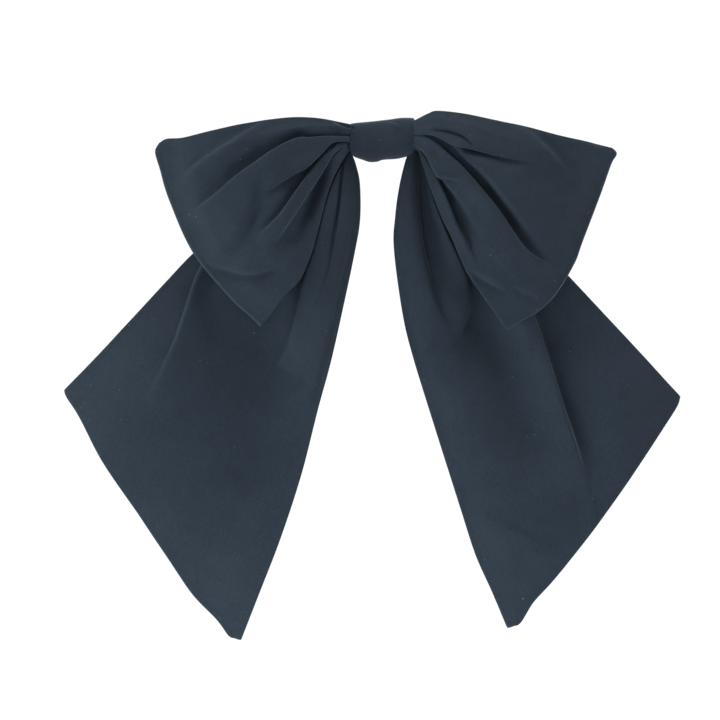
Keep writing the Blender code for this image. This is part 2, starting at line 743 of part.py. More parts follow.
def build():
    clear_scene()
    poplin = material("navy_poplin", (0.028, 0.038, 0.052), 0.85, 0.0)
    felt = material("navy_felt", (0.02, 0.026, 0.036), 0.95, 0.0)
    thread = material("navy_thread", (0.02, 0.028, 0.04), 0.7, 0.0)
    nickel = material("nickel_steel", (0.72, 0.71, 0.69), 0.28, 1.0)
    spring = material("spring_steel", (0.62, 0.62, 0.63), 0.35, 1.0)

    sash_loop("left_loop", LEFT_LOOP, poplin)
    sash_loop("right_loop", RIGHT_LOOP, poplin)
    sash_tail("left_tail", LEFT_TAIL, poplin)
    sash_tail("right_tail", RIGHT_TAIL, poplin)

    knot_band(poplin)
    sash_core(poplin)
    gathering_thread(thread)
    band_stitching(thread)
    felt_pad(felt)
    plate_lashing("plate_lashing_left", -LASHING_X, thread)
    plate_lashing("plate_lashing_right", LASHING_X, thread)

    clip_plate(nickel)
    hinge_bracket(nickel)
    rivet("hinge_rivet", RIVET_X, nickel)
    hinge_pin(nickel)
    clasp_arm(nickel)
    tension_bar(spring)
    riveted_base("catch_base", -1, CATCH_X, nickel)
    rivet("catch_rivet", CATCH_X, nickel)
    catch_tab("catch_tab_upper", 1, spring)
    catch_tab("catch_tab_lower", -1, spring)


build()
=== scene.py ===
"""Looks of the hair bow: doubled poplin sashes, the wrapped knot, and the clip behind it.

The sashes are modelled as cloth laid out from the knot. Each one is a patch between its
edges, pushed forward and back by the folds that run along it, and given the thickness
of two layers of poplin with turned, rolled seams. Points in the edge and fold lists are
(x, z) in millimetres in the shared frame, and depth is positive towards the viewer.
A place on a sash has two shares: u goes across it from 0 at its first edge to 1 at its
last one, and v goes along it from 0 at the knot to 1 at its end.
"""

import math

import bmesh
import bpy
import numpy as np
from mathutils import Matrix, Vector


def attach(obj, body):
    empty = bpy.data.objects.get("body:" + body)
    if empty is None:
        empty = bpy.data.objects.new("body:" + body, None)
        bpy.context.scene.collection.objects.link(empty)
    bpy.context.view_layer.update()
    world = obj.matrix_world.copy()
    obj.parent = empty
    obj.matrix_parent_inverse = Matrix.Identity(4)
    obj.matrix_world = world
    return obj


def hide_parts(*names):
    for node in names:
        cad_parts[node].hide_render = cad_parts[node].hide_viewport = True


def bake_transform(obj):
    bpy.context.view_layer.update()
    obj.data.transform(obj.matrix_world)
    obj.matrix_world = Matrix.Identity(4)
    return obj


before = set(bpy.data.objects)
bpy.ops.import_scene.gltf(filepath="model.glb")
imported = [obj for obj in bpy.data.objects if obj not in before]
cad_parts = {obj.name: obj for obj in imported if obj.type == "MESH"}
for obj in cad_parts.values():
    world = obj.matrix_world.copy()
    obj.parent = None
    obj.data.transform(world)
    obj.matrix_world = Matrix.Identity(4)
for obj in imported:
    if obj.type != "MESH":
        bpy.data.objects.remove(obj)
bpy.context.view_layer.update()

MM = 0.001


# ---------------- curves and patches

CURVE_STEPS = 24  # steps of a smooth curve between two of its given points
FOLD_STEPS = 64  # points of a fold's path when distances from it are measured


def catmull(p0, p1, p2, p3, t):
    """Point at share t between p1 and p2 of a smooth curve through four points."""
    linear = (p2 - p0) * t
    square = (2 * p0 - 5 * p1 + 4 * p2 - p3) * t**2
    cube = (3 * p1 - p0 - 3 * p2 + p3) * t**3
    return p1 + 0.5 * (linear + square + cube)


def extended(values):
    """The values with one more at each end, so that a smooth curve reaches both ends."""
    before, after = 2 * values[0] - values[1], 2 * values[-1] - values[-2]
    return np.concatenate([[before], values, [after]])


def smooth_path(points, count):
    """Evenly spaced points on a smooth curve through a few points."""
    points = np.array(points, float)
    knots = extended(points)
    t = np.linspace(0, 1, CURVE_STEPS, endpoint=False)[:, None]
    fine = [catmull(*knots[i - 1 : i + 3], t) for i in range(1, len(knots) - 2)]
    fine = np.concatenate([*fine, points[-1:]])
    along = np.r_[0, np.cumsum(np.linalg.norm(np.diff(fine, axis=0), axis=1))]
    wanted = np.linspace(0, along[-1], count)
    return np.stack([np.interp(wanted, along, fine[:, k]) for k in range(fine.shape[1])], 1)


def spread(share, values):
    """Values given at even steps along a length, joined smoothly, read at each share."""
    values = np.array(values, float)
    knots = extended(values)
    place = np.clip(share, 0, 1) * (len(values) - 1)
    i = np.minimum(place.astype(int), len(values) - 2)
    return catmull(knots[i], knots[i + 1], knots[i + 2], knots[i + 3], place - i)


def eased(share):
    """Smooth step from 0 to 1 of a share clipped to that range."""
    share = np.clip(share, 0, 1)
    return share * share * (3 - 2 * share)


def rounded(v, share):
    """1 along a length, falling as a quarter circle to 0 over its last share."""
    return np.sqrt(np.clip(1 - (np.maximum(v - (1 - share), 0) / share) ** 2, 0, 1))


def shares(across, along):
    """The shares u and v of the rows and columns of a grid."""
    return np.linspace(0, 1, across)[:, None], np.linspace(0, 1, along)[None, :]


def patch(first, last, start, end, across, along):
    """Coons patch of (x, z) between four edges; rows go across the sash, columns along it."""
    a, b = smooth_path(first, along), smooth_path(last, along)
    c, d = smooth_path(start, across), smooth_path(end, across)
    u, v = (share[..., None] for share in shares(across, along))
    ruled = (1 - u) * a[None] + u * b[None] + (1 - v) * c[:, None] + v * d[:, None]
    corners = (1 - u) * ((1 - v) * a[0] + v * a[-1]) + u * ((1 - v) * b[0] + v * b[-1])
    return ruled - corners


# ---------------- folds


def along_path(at, path):
    """(signed distance, share along the path, direction across it) from its nearest point.

    The distance is positive to the left of the path's direction, and the direction across
    it points to that side.
    """
    x, z = at
    line = smooth_path(path, FOLD_STEPS)
    nearest = np.full(x.shape, np.inf)
    signed, share = np.zeros(x.shape), np.zeros(x.shape)
    across = np.zeros((2, *x.shape))
    for k in range(len(line) - 1):
        (ax, az), (bx, bz) = line[k], line[k + 1]
        dx, dz = bx - ax, bz - az
        length = math.hypot(dx, dz)
        t = np.clip(((x - ax) * dx + (z - az) * dz) / length**2, 0, 1)
        gap = np.hypot(x - ax - t * dx, z - az - t * dz)
        side = np.sign(dx * (z - az) - dz * (x - ax))
        closer = gap < nearest
        nearest = np.where(closer, gap, nearest)
        signed = np.where(closer, gap * side, signed)
        share = np.where(closer, (k + t) / (len(line) - 1), share)
        across[0] = np.where(closer, -dz / length, across[0])
        across[1] = np.where(closer, dx / length, across[1])
    return signed, share, across


def lap(at, path, height, crest, valley, lip=(0.35, 0.7), over="left", tuck=0.5, sink=0.5):
    """Displacement of a fold whose edge, along the path, lies over its neighbour.

    The side named in over rises to a crest that reaches past the edge by tuck times the
    fold's height, and the other side sinks into a valley, which takes the share sink of
    the height. The height and the widths of the crest, the valley and the lip, which is
    the step between them, are given at even steps along the path.
    """
    d, t, across = along_path(at, path)
    if over == "right":
        d, across = -d, -across
    h = spread(t, height)
    top = 0.5 * (1 + np.tanh(d / spread(t, lip)))
    up = np.exp(-((np.maximum(d, 0) / spread(t, crest)) ** 2)) * top
    down = np.exp(-((np.minimum(d, 0) / spread(t, valley)) ** 2)) * (1 - top)
    depth = h * ((1 - sink) * up - sink * down)
    reach = 1.0 + 0.35 * h
    over_edge = np.exp(-((d / reach) ** 2)) * (0.6 - top) * tuck * h
    return np.stack([over_edge * across[0], depth, over_edge * across[1]])


def ridge(at, path, height, width, power=1.6):
    """Displacement of a rounded ridge along the path, or a hollow where height is negative."""
    d, t, _ = along_path(at, path)
    depth = spread(t, height) * np.exp(-np.abs(d / spread(t, width)) ** power)
    return np.stack([0 * depth, depth, 0 * depth])


def ripples(at, seed, size, waves=7):
    """Soft irregular unevenness of about one unit, with features of about size mm."""
    x, z = at
    rng = np.random.default_rng(seed)
    total = np.zeros(x.shape)
    for _ in range(waves):
        angle, phase = rng.uniform(0, math.pi), rng.uniform(0, 2 * math.pi)
        period = size * rng.uniform(0.7, 1.6)
        total += np.sin(2 * math.pi * (x * math.cos(angle) + z * math.sin(angle)) / period + phase)
    return total / math.sqrt(waves)


def uneven(at, seed, *layers):
    """Depth of the cloth's overall unevenness, from layers of ripples as (height, size) in mm."""
    return sum(height * ripples(at, seed + k, size) for k, (height, size) in enumerate(layers))


# ---------------- cloth meshes

CLOTH_HALF = 0.32  # half thickness of a doubled sash, mm
SEAM_HALF = 0.52  # half thickness at a turned seam, mm
SEAM_WIDTH = 1.5  # how far the seam's extra thickness reaches in from the edge, mm
RIM_ANGLES = (45, 0, -45)  # rows of points round a rim, in degrees from the middle surface


def grid_normals(points):
    """Unit normals of a grid of points, facing the viewer where the grid does."""
    du = np.gradient(points, axis=0)
    dv = np.gradient(points, axis=1)
    normal = np.cross(du, dv)
    return normal / np.maximum(np.linalg.norm(normal, axis=2, keepdims=True), 1e-9)


def seam_half(points, edges):
    """Half thickness of the doubled cloth, fuller at the turned seams named in edges."""
    half = np.full(points.shape[:2], CLOTH_HALF)
    lines = {"first": points[:1], "last": points[-1:], "end": points[:, -1:]}
    for edge in edges:
        apart = np.linalg.norm(points - lines[edge], axis=2)
        half += (SEAM_HALF - CLOTH_HALF) * np.exp(-((apart / SEAM_WIDTH) ** 2))
    return np.minimum(half, SEAM_HALF)


def flat_coordinates(points):
    """Distances across and along a grid of mm points, in metres, as the cloth would lie flat."""
    across = np.linalg.norm(np.diff(points, axis=0, prepend=points[:1]), axis=2).cumsum(0)
    across -= across[-1:] / 2
    along = np.linalg.norm(np.diff(points, axis=1, prepend=points[:, :1]), axis=2).mean(0).cumsum()
    return np.stack([across, along[None, :] + 0 * across], 2).reshape(-1, 2) * MM


def set_uv(mesh, flat):
    """Writes one flat position for each vertex as the mesh's UV map."""
    layer = mesh.uv_layers.new(name="UVMap")
    vertex = np.zeros(len(mesh.loops), np.int32)
    mesh.loops.foreach_get("vertex_index", vertex)
    layer.data.foreach_set("uv", flat[vertex].astype(np.float32).ravel())


def outward_faces(mesh):
    """Turns all faces of a closed mesh to point out."""
    bm = bmesh.new()
    bm.from_mesh(mesh)
    bmesh.ops.recalc_face_normals(bm, faces=bm.faces[:])
    if bm.calc_volume(signed=True) < 0:
        bmesh.ops.reverse_faces(bm, faces=bm.faces[:])
    bm.to_mesh(mesh)
    bm.free()


def closed_mesh(name, vertices, faces, flat):
    """Smooth closed object from its points in metres, its faces and its flat layout."""
    mesh = bpy.data.meshes.new(name)
    mesh.from_pydata(vertices.tolist(), [], faces.tolist())
    set_uv(mesh, flat)
    outward_faces(mesh)
    mesh.shade_smooth()
    made = bpy.data.objects.new(name, mesh)
    bpy.context.collection.objects.link(made)
    return made


def rim_order(across, along):
    """Rows and columns of the points that one way round a grid's edge meets."""
    last = across - 1
    order = [(i, 0) for i in range(across)]
    order += [(last, j) for j in range(1, along)]
    order += [(i, along - 1) for i in range(last - 1, -1, -1)]
    order += [(0, j) for j in range(along - 2, 0, -1)]
    return tuple(np.array(order).T)


def rim_rows(points, normal, half, rim):
    """Rows of points round a grid's edge that join its two faces with a round."""
    i, j = rim
    at, out_of, thick = points[i, j], normal[i, j], half[i, j]
    tangent = np.roll(at, -1, 0) - np.roll(at, 1, 0)
    outward = np.cross(tangent, out_of)
    outward /= np.maximum(np.linalg.norm(outward, axis=1, keepdims=True), 1e-9)
    if ((at - points.mean((0, 1))) * outward).sum() < 0:
        outward = -outward
    turns = np.radians(RIM_ANGLES)
    return [at + thick * (math.sin(a) * out_of + math.cos(a) * outward) for a in turns]


def cloth(name, points, seams):
    """Closed mesh of a doubled sash from its middle surface, with rounded rims.

    points is an (across, along, 3) grid in mm, and seams names its sewn edges.
    """
    normal = grid_normals(points)
    half = seam_half(points, seams)[..., None]
    front, back = points + normal * half, points - normal * half
    across, along = points.shape[:2]
    rim = rim_order(across, along)
    rows = rim_rows(points, normal, half, rim)
    vertices = np.concatenate([front.reshape(-1, 3), back.reshape(-1, 3), *rows]) * MM
    count, around = across * along, len(rim[0])
    grid = np.arange(count).reshape(across, along)
    a, b = grid[:-1, :-1].ravel(), grid[1:, :-1].ravel()
    c, d = grid[1:, 1:].ravel(), grid[:-1, 1:].ravel()
    faces = [np.stack([a, b, c, d], 1), np.stack([a, d, c, b], 1) + count]
    edge = grid[rim]
    between = [2 * count + k * around + np.arange(around) for k in range(len(rows))]
    rings = [edge, *between, edge + count]
    for low, high in zip(rings, rings[1:]):
        faces.append(np.stack([low, high, np.roll(high, -1), np.roll(low, -1)], 1))
    flat = flat_coordinates(points)
    layout = np.concatenate([flat, flat, *[flat[edge]] * len(rows)])
    return closed_mesh(name, vertices, np.concatenate(faces), layout)


# ---------------- materials

# Linear colours, each pair as (dark, light).
POPLIN_DYE = (0.0043, 0.0068, 0.0099), (0.0096, 0.0138, 0.0193)
THREAD_DYE = (0.008, 0.012, 0.018), (0.026, 0.036, 0.050)
FELT_DYE = (0.008, 0.012, 0.019), (0.030, 0.042, 0.058)
NICKEL_TONES = (0.60, 0.585, 0.555), (0.72, 0.705, 0.68)
STEEL_TONES = (0.43, 0.44, 0.46), (0.60, 0.61, 0.63)
BLACK_TO_WHITE = (0, 0, 0), (1, 1, 1)
LINT = (0.055, 0.066, 0.078)
SHEEN_TINT = (0.75, 0.85, 1.0)

NICKEL_ROUGHNESS = (0.30, 0.42)
STEEL_ROUGHNESS = (0.30, 0.44)
THREAD_PITCH = 0.00042  # one over-under pair of poplin threads, metres
SLUB_ACROSS, SLUB_ALONG = 2400, 150  # thick places of the yarn in a metre across and along it
COLOUR_A, COLOUR_B, MIXED_COLOUR = 6, 7, 2  # a Mix node's sockets when it mixes colours


def new_material(name):
    """A new material, with its node tree and its surface shader."""
    made = bpy.data.materials.new(name)
    made.use_nodes = True
    tree = made.node_tree
    return made, tree, tree.nodes["Principled BSDF"]


def place_of(tree):
    """Position on the object, in metres."""
    return tree.nodes.new("ShaderNodeTexCoord").outputs["Object"]


def flat_place_of(tree):
    """Position on the cloth as it would lie flat, in metres."""
    uv = tree.nodes.new("ShaderNodeUVMap")
    uv.uv_map = "UVMap"
    return uv.outputs["UV"]


def math_node(tree, operation, *values):
    """Result of an operation on values that are numbers or outputs of other nodes."""
    node = tree.nodes.new("ShaderNodeMath")
    node.operation = operation
    for socket, value in zip(node.inputs, values):
        if isinstance(value, (int, float)):
            socket.default_value = value
        else:
            tree.links.new(value, socket)
    return node.outputs[0]


def scaled(tree, vector, scale):
    """The vector with each of its three directions scaled."""
    node = tree.nodes.new("ShaderNodeMapping")
    node.inputs["Scale"].default_value = scale
    tree.links.new(vector, node.inputs["Vector"])
    return node.outputs["Vector"]


def noise(tree, vector, scale, detail=2.0):
    """Cloudy noise from 0 to 1, with about scale features to a metre of the vector."""
    node = tree.nodes.new("ShaderNodeTexNoise")
    node.inputs["Scale"].default_value = scale
    node.inputs["Detail"].default_value = detail
    tree.links.new(vector, node.inputs["Vector"])
    return node.outputs["Fac"]


def ramp(tree, fac, low, high, dark, light):
    """Colour running from dark to light as fac goes from low to high."""
    node = tree.nodes.new("ShaderNodeValToRGB")
    first, last = node.color_ramp.elements
    first.position, last.position = low, high
    first.color, last.color = (*dark, 1), (*light, 1)
    tree.links.new(fac, node.inputs["Fac"])
    return node.outputs["Color"]


def grey_ramp(tree, fac, low, high, values):
    """Grey running from the first of two values to the second as fac goes from low to high."""
    return ramp(tree, fac, low, high, *[(value,) * 3 for value in values])


def bump(tree, shader, height, strength, distance):
    """Fine relief on the shader's surface, distance metres deep at full strength."""
    node = tree.nodes.new("ShaderNodeBump")
    node.inputs["Strength"].default_value = strength
    node.inputs["Distance"].default_value = distance
    tree.links.new(height, node.inputs["Height"])
    tree.links.new(node.outputs["Normal"], shader.inputs["Normal"])


def set_values(node, **values):
    """Sets inputs of a node by name, with _ for each space."""
    for name, value in values.items():
        node.inputs[name.replace("_", " ")].default_value = value


def plain_weave(tree, vector):
    """Crossed waves of warp and weft, and the slubs in their yarns."""
    split = tree.nodes.new("ShaderNodeSeparateXYZ")
    tree.links.new(vector, split.inputs[0])
    turn = 2 * math.pi / THREAD_PITCH
    waves = []
    for k in (0, 1):
        phase = math_node(tree, "MULTIPLY", split.outputs[k], turn)
        waves.append(math_node(tree, "SINE", phase))
    weave = math_node(tree, "MULTIPLY", *waves)
    slub_warp = noise(tree, scaled(tree, vector, (SLUB_ACROSS, SLUB_ALONG, 1)), 1.0, detail=1.0)
    slub_weft = noise(tree, scaled(tree, vector, (SLUB_ALONG, SLUB_ACROSS, 1)), 1.0, detail=1.0)
    return weave, math_node(tree, "ADD", slub_warp, slub_weft)


def poplin(name, on_uv=True):
    """Crisp plain weave: fine crossed threads, slubs, mottled navy dye and a little lint."""
    made, tree, shader = new_material(name)
    place = place_of(tree)
    weave, slubs = plain_weave(tree, flat_place_of(tree) if on_uv else place)
    grain = noise(tree, place, scale=1500.0)
    mottle = noise(tree, place, scale=45.0, detail=5.0)
    threads = math_node(tree, "MULTIPLY_ADD", weave, 0.3, slubs)
    bump(tree, shader, math_node(tree, "ADD", threads, grain), strength=0.5, distance=0.00007)
    tone = math_node(tree, "MULTIPLY", mottle, 0.3)
    tone = math_node(tree, "MULTIPLY_ADD", slubs, 0.25, tone)
    tone = math_node(tree, "MULTIPLY_ADD", grain, 0.55, tone)
    dye = ramp(tree, tone, 0.44, 0.92, *POPLIN_DYE)
    specks = noise(tree, place, scale=1300.0, detail=0.0)
    fleck = ramp(tree, specks, 0.875, 0.90, *BLACK_TO_WHITE)
    mix = tree.nodes.new("ShaderNodeMix")
    mix.data_type = "RGBA"
    tree.links.new(fleck, mix.inputs["Factor"])
    tree.links.new(dye, mix.inputs[COLOUR_A])
    mix.inputs[COLOUR_B].default_value = (*LINT, 1)
    tree.links.new(mix.outputs[MIXED_COLOUR], shader.inputs["Base Color"])
    set_values(shader, Roughness=0.85, Specular_IOR_Level=0.04)
    set_values(shader, Sheen_Weight=0.04, Sheen_Roughness=0.4, Sheen_Tint=(*SHEEN_TINT, 1))
    return made


def spun_thread():
    """Navy sewing thread: a tight twist seen as fine slanted ridges."""
    made, tree, shader = new_material("spun_thread")
    twist = tree.nodes.new("ShaderNodeTexWave")
    twist.bands_direction = "DIAGONAL"
    set_values(twist, Scale=900.0, Distortion=1.5)
    tree.links.new(place_of(tree), twist.inputs["Vector"])
    dye = ramp(tree, twist.outputs["Fac"], 0.1, 0.9, *THREAD_DYE)
    tree.links.new(dye, shader.inputs["Base Color"])
    bump(tree, shader, twist.outputs["Fac"], strength=0.7, distance=0.00008)
    set_values(shader, Roughness=0.6, Specular_IOR_Level=0.3, Sheen_Weight=0.15)
    return made


def felt():
    """Pressed navy felt: a fuzzy tangle of short fibres."""
    made, tree, shader = new_material("pressed_felt")
    place = place_of(tree)
    fuzz = noise(tree, place, scale=2600.0, detail=6.0)
    clumps = noise(tree, place, scale=350.0, detail=3.0)
    tone = math_node(tree, "MULTIPLY", clumps, 0.4)
    tone = math_node(tree, "MULTIPLY_ADD", fuzz, 0.6, tone)
    tree.links.new(ramp(tree, tone, 0.3, 0.75, *FELT_DYE), shader.inputs["Base Color"])
    bump(tree, shader, tone, strength=0.9, distance=0.0003)
    set_values(shader, Roughness=1.0, Specular_IOR_Level=0.1, Sheen_Weight=0.35, Sheen_Roughness=0.6)
    return made


def nickel():
    """Satin nickel plate over stamped steel, faintly clouded and scuffed."""
    made, tree, shader = new_material("nickel_plate")
    place = place_of(tree)
    cloud = noise(tree, place, scale=160.0, detail=4.0)
    scuffs = noise(tree, scaled(tree, place, (500, 4000, 4000)), 1.0, detail=3.0)
    roughness = grey_ramp(tree, scuffs, 0.3, 0.75, NICKEL_ROUGHNESS)
    tree.links.new(ramp(tree, cloud, 0.3, 0.7, *NICKEL_TONES), shader.inputs["Base Color"])
    tree.links.new(roughness, shader.inputs["Roughness"])
    bump(tree, shader, scuffs, strength=0.05, distance=0.00002)
    set_values(shader, Metallic=1.0)
    return made


def spring_steel():
    """Rolled spring strip, brushed along its length."""
    made, tree, shader = new_material("rolled_spring")
    brushed = noise(tree, scaled(tree, place_of(tree), (60, 5200, 5200)), 1.0, detail=3.0)
    roughness = grey_ramp(tree, brushed, 0.3, 0.7, STEEL_ROUGHNESS)
    tree.links.new(ramp(tree, brushed, 0.25, 0.75, *STEEL_TONES), shader.inputs["Base Color"])
    tree.links.new(roughness, shader.inputs["Roughness"])
    bump(tree, shader, brushed, strength=0.15, distance=0.00003)
    set_values(shader, Metallic=1.0)
    return made


# ---------------- loops

LOOP_ACROSS, LOOP_FRONT, LOOP_REAR = 230, 150, 60  # grid points across a loop and along each face
ROOT_DEPTH = 20.5  # where the gathers stand in the knot, mm in front of the origin
LOOP_REAR_DEPTH = 17.6  # where a loop's rear face stands
LOOP_MIDDLE_DEPTH = LOOP_REAR_DEPTH + 2.2  # where its two faces meet at the outer turn
LOOP_FRONT_LEAST = LOOP_REAR_DEPTH + 1.6  # as far back as a fold may press its front face
FRONT_TURN, REAR_TURN = 0.05, 0.07  # shares of each face's length that its outer turn takes
SETTLE_SHARE = 0.14  # share of the length over which the front settles towards the turn
SETTLED = 0.35  # share of its fullness that is left there
LOOP_SEAM_SHARE = 0.03  # share of the width over which a fold's sideways lap fades at a seam
REAR_INSET = 2.6  # how far the rear face stays inside the outline of the front, mm
REAR_ROOT_RISE, REAR_ROOT_SHARE = 1.0, 0.2  # the rear face's rise towards the knot, mm, and its share

PLEAT_CENTRE = (4, 2)  # point that the rear pleats fan out from, mm from the middle of the knot
PLEAT_HEIGHT, PLEAT_FADE = 2.2, 0.85
PUFF_SHARES = (0, 0.12, 0.35, 0.6, 0.8, 1)  # shares across a loop where its fullness is given
PUFF_END = 0.98  # share of the length past which the swell stays as it is

LEFT_LOOP = {
    "top": [(-11.5, 5.2), (-15, 5.9), (-24.6, 7.4), (-33.9, 7.8), (-43.2, 7.0), (-57.2, 5.0),
            (-71.2, 2.0), (-80.5, 0.0), (-87, -0.2), (-90.1, -1.8)],
    "outer": [(-90.1, -1.8), (-91.7, -5.0), (-89.8, -11.9), (-86.1, -24.2), (-76.5, -45.5),
              (-61.9, -63.4), (-54, -70.8), (-49.3, -75.1)],
    "bottom": [(-11.5, -4), (-14.3, -5.4), (-19.4, -14), (-23.4, -25.5), (-28.2, -44),
               (-33.2, -56), (-39.5, -62.5), (-45.1, -69.9), (-49.3, -75.1)],
    "fullness": [8.6, 11.2, 11.8, 11.0, 9.6, 5.0],
    "swell": (0.8, 0.75),
    "droop": 2.0,
    "pleats": (35, 1),
}

RIGHT_LOOP = {
    "top": [(11.5, 6.3), (14.5, 7.6), (19, 9.7), (22.5, 10.5), (33, 9.2), (47, 6.2), (58.2, 3.9),
            (70.3, 0.7), (84.3, -2.1), (90, -3.2), (93.4, -3.9)],
    "outer": [(93.4, -3.9), (94.9, -5.8), (92.7, -9.9), (88.6, -21.5), (81.2, -41), (77.7, -50.3),
              (70.3, -62.5), (62.8, -69.8), (56.3, -73.4), (50.9, -76.4)],
    "bottom": [(11.5, -3.5), (15.0, -4.6), (16.6, -9), (19, -17), (21.8, -25), (24.6, -32),
               (28.5, -40), (32.3, -49), (35.3, -55), (43, -66), (50.9, -76.4)],
    "fullness": [8.6, 11.2, 12.2, 11.6, 10.2, 5.5],
    "swell": (0.9, 0.55),
    "droop": 0.0,
    "pleats": (29, 2),
}


def puff(loop, u, v):
    """Depth of a loop's front before its folds.

    Of the two powers in swell, a lower first one makes the loop fullest nearer the knot,
    and a lower second one fills it sooner. Droop takes its last edge back where the loop
    isn't full.
    """
    place, fill = loop["swell"]
    swell = np.sin(math.pi * np.minimum(v, PUFF_END) ** place) ** fill
    fullness = np.interp(u, PUFF_SHARES, loop["fullness"])
    return ROOT_DEPTH + fullness * swell - loop["droop"] * u**3 * (1 - swell)


def rear_pleats(at, v, count, seed):
    """Depth of the pleats in a loop's rear face, which fade away from the knot."""
    angle = np.arctan2(at[1] - PLEAT_CENTRE[1], np.abs(at[0]) - PLEAT_CENTRE[0])
    fade = np.clip(1 - v, 0, 1) ** PLEAT_FADE
    rise = (1 + np.sin(count * angle + seed)) * fade * PLEAT_HEIGHT
    return rise + uneven(at, seed, (0.25, 22))


def front_face(loop, folds):
    """Grid of a loop's front face, from the knot to the outer turn."""
    root = [loop["top"][0], loop["bottom"][0]]
    xz = patch(loop["top"], loop["bottom"], root, loop["outer"], LOOP_ACROSS, LOOP_FRONT)
    u, v = shares(LOOP_ACROSS, LOOP_FRONT)
    x, z = xz[..., 0], xz[..., 1]
    fold = folds((x, z))
    settle = eased((1 - v) / SETTLE_SHARE)
    depth = np.maximum(puff(loop, u, v) + fold[1], LOOP_FRONT_LEAST)
    kept = (SETTLED + (1 - SETTLED) * settle) * rounded(v, FRONT_TURN)
    depth = LOOP_MIDDLE_DEPTH + (depth - LOOP_MIDDLE_DEPTH) * kept
    keep = settle * eased(np.minimum(u, 1 - u) / LOOP_SEAM_SHARE)
    return np.stack([x + keep * fold[0], -depth, z + keep * fold[2]], 2)


def rear_face(loop):
    """Grid of a loop's rear face, from the knot to the outer turn."""
    top, bottom = np.array(loop["top"], float), np.array(loop["bottom"], float)
    root = [top[0].copy(), bottom[0].copy()]
    top[:, 1] -= REAR_INSET * np.sin(math.pi * np.linspace(0, 1, len(top)))
    inward = np.sin(math.pi * np.linspace(0, 1, len(bottom))) * np.sign(top[-1, 0])
    bottom[:, 0] += REAR_INSET * inward
    xz = patch(top, bottom, root, loop["outer"], LOOP_ACROSS, LOOP_REAR)
    _, v = shares(LOOP_ACROSS, LOOP_REAR)
    x, z = xz[..., 0], xz[..., 1]
    rise = (1 - np.clip(v / REAR_ROOT_SHARE, 0, 1)) * REAR_ROOT_RISE
    depth = LOOP_REAR_DEPTH + rise + rear_pleats((x, z), v, *loop["pleats"])
    depth = LOOP_MIDDLE_DEPTH + (depth - LOOP_MIDDLE_DEPTH) * rounded(v, REAR_TURN)
    return np.stack([x, -depth, z], 2)


def loop_grid(loop, folds):
    """Middle surface of a loop: out along the front, round the outer turn, back behind."""
    return np.concatenate([front_face(loop, folds), rear_face(loop)[:, -2::-1]], 1)


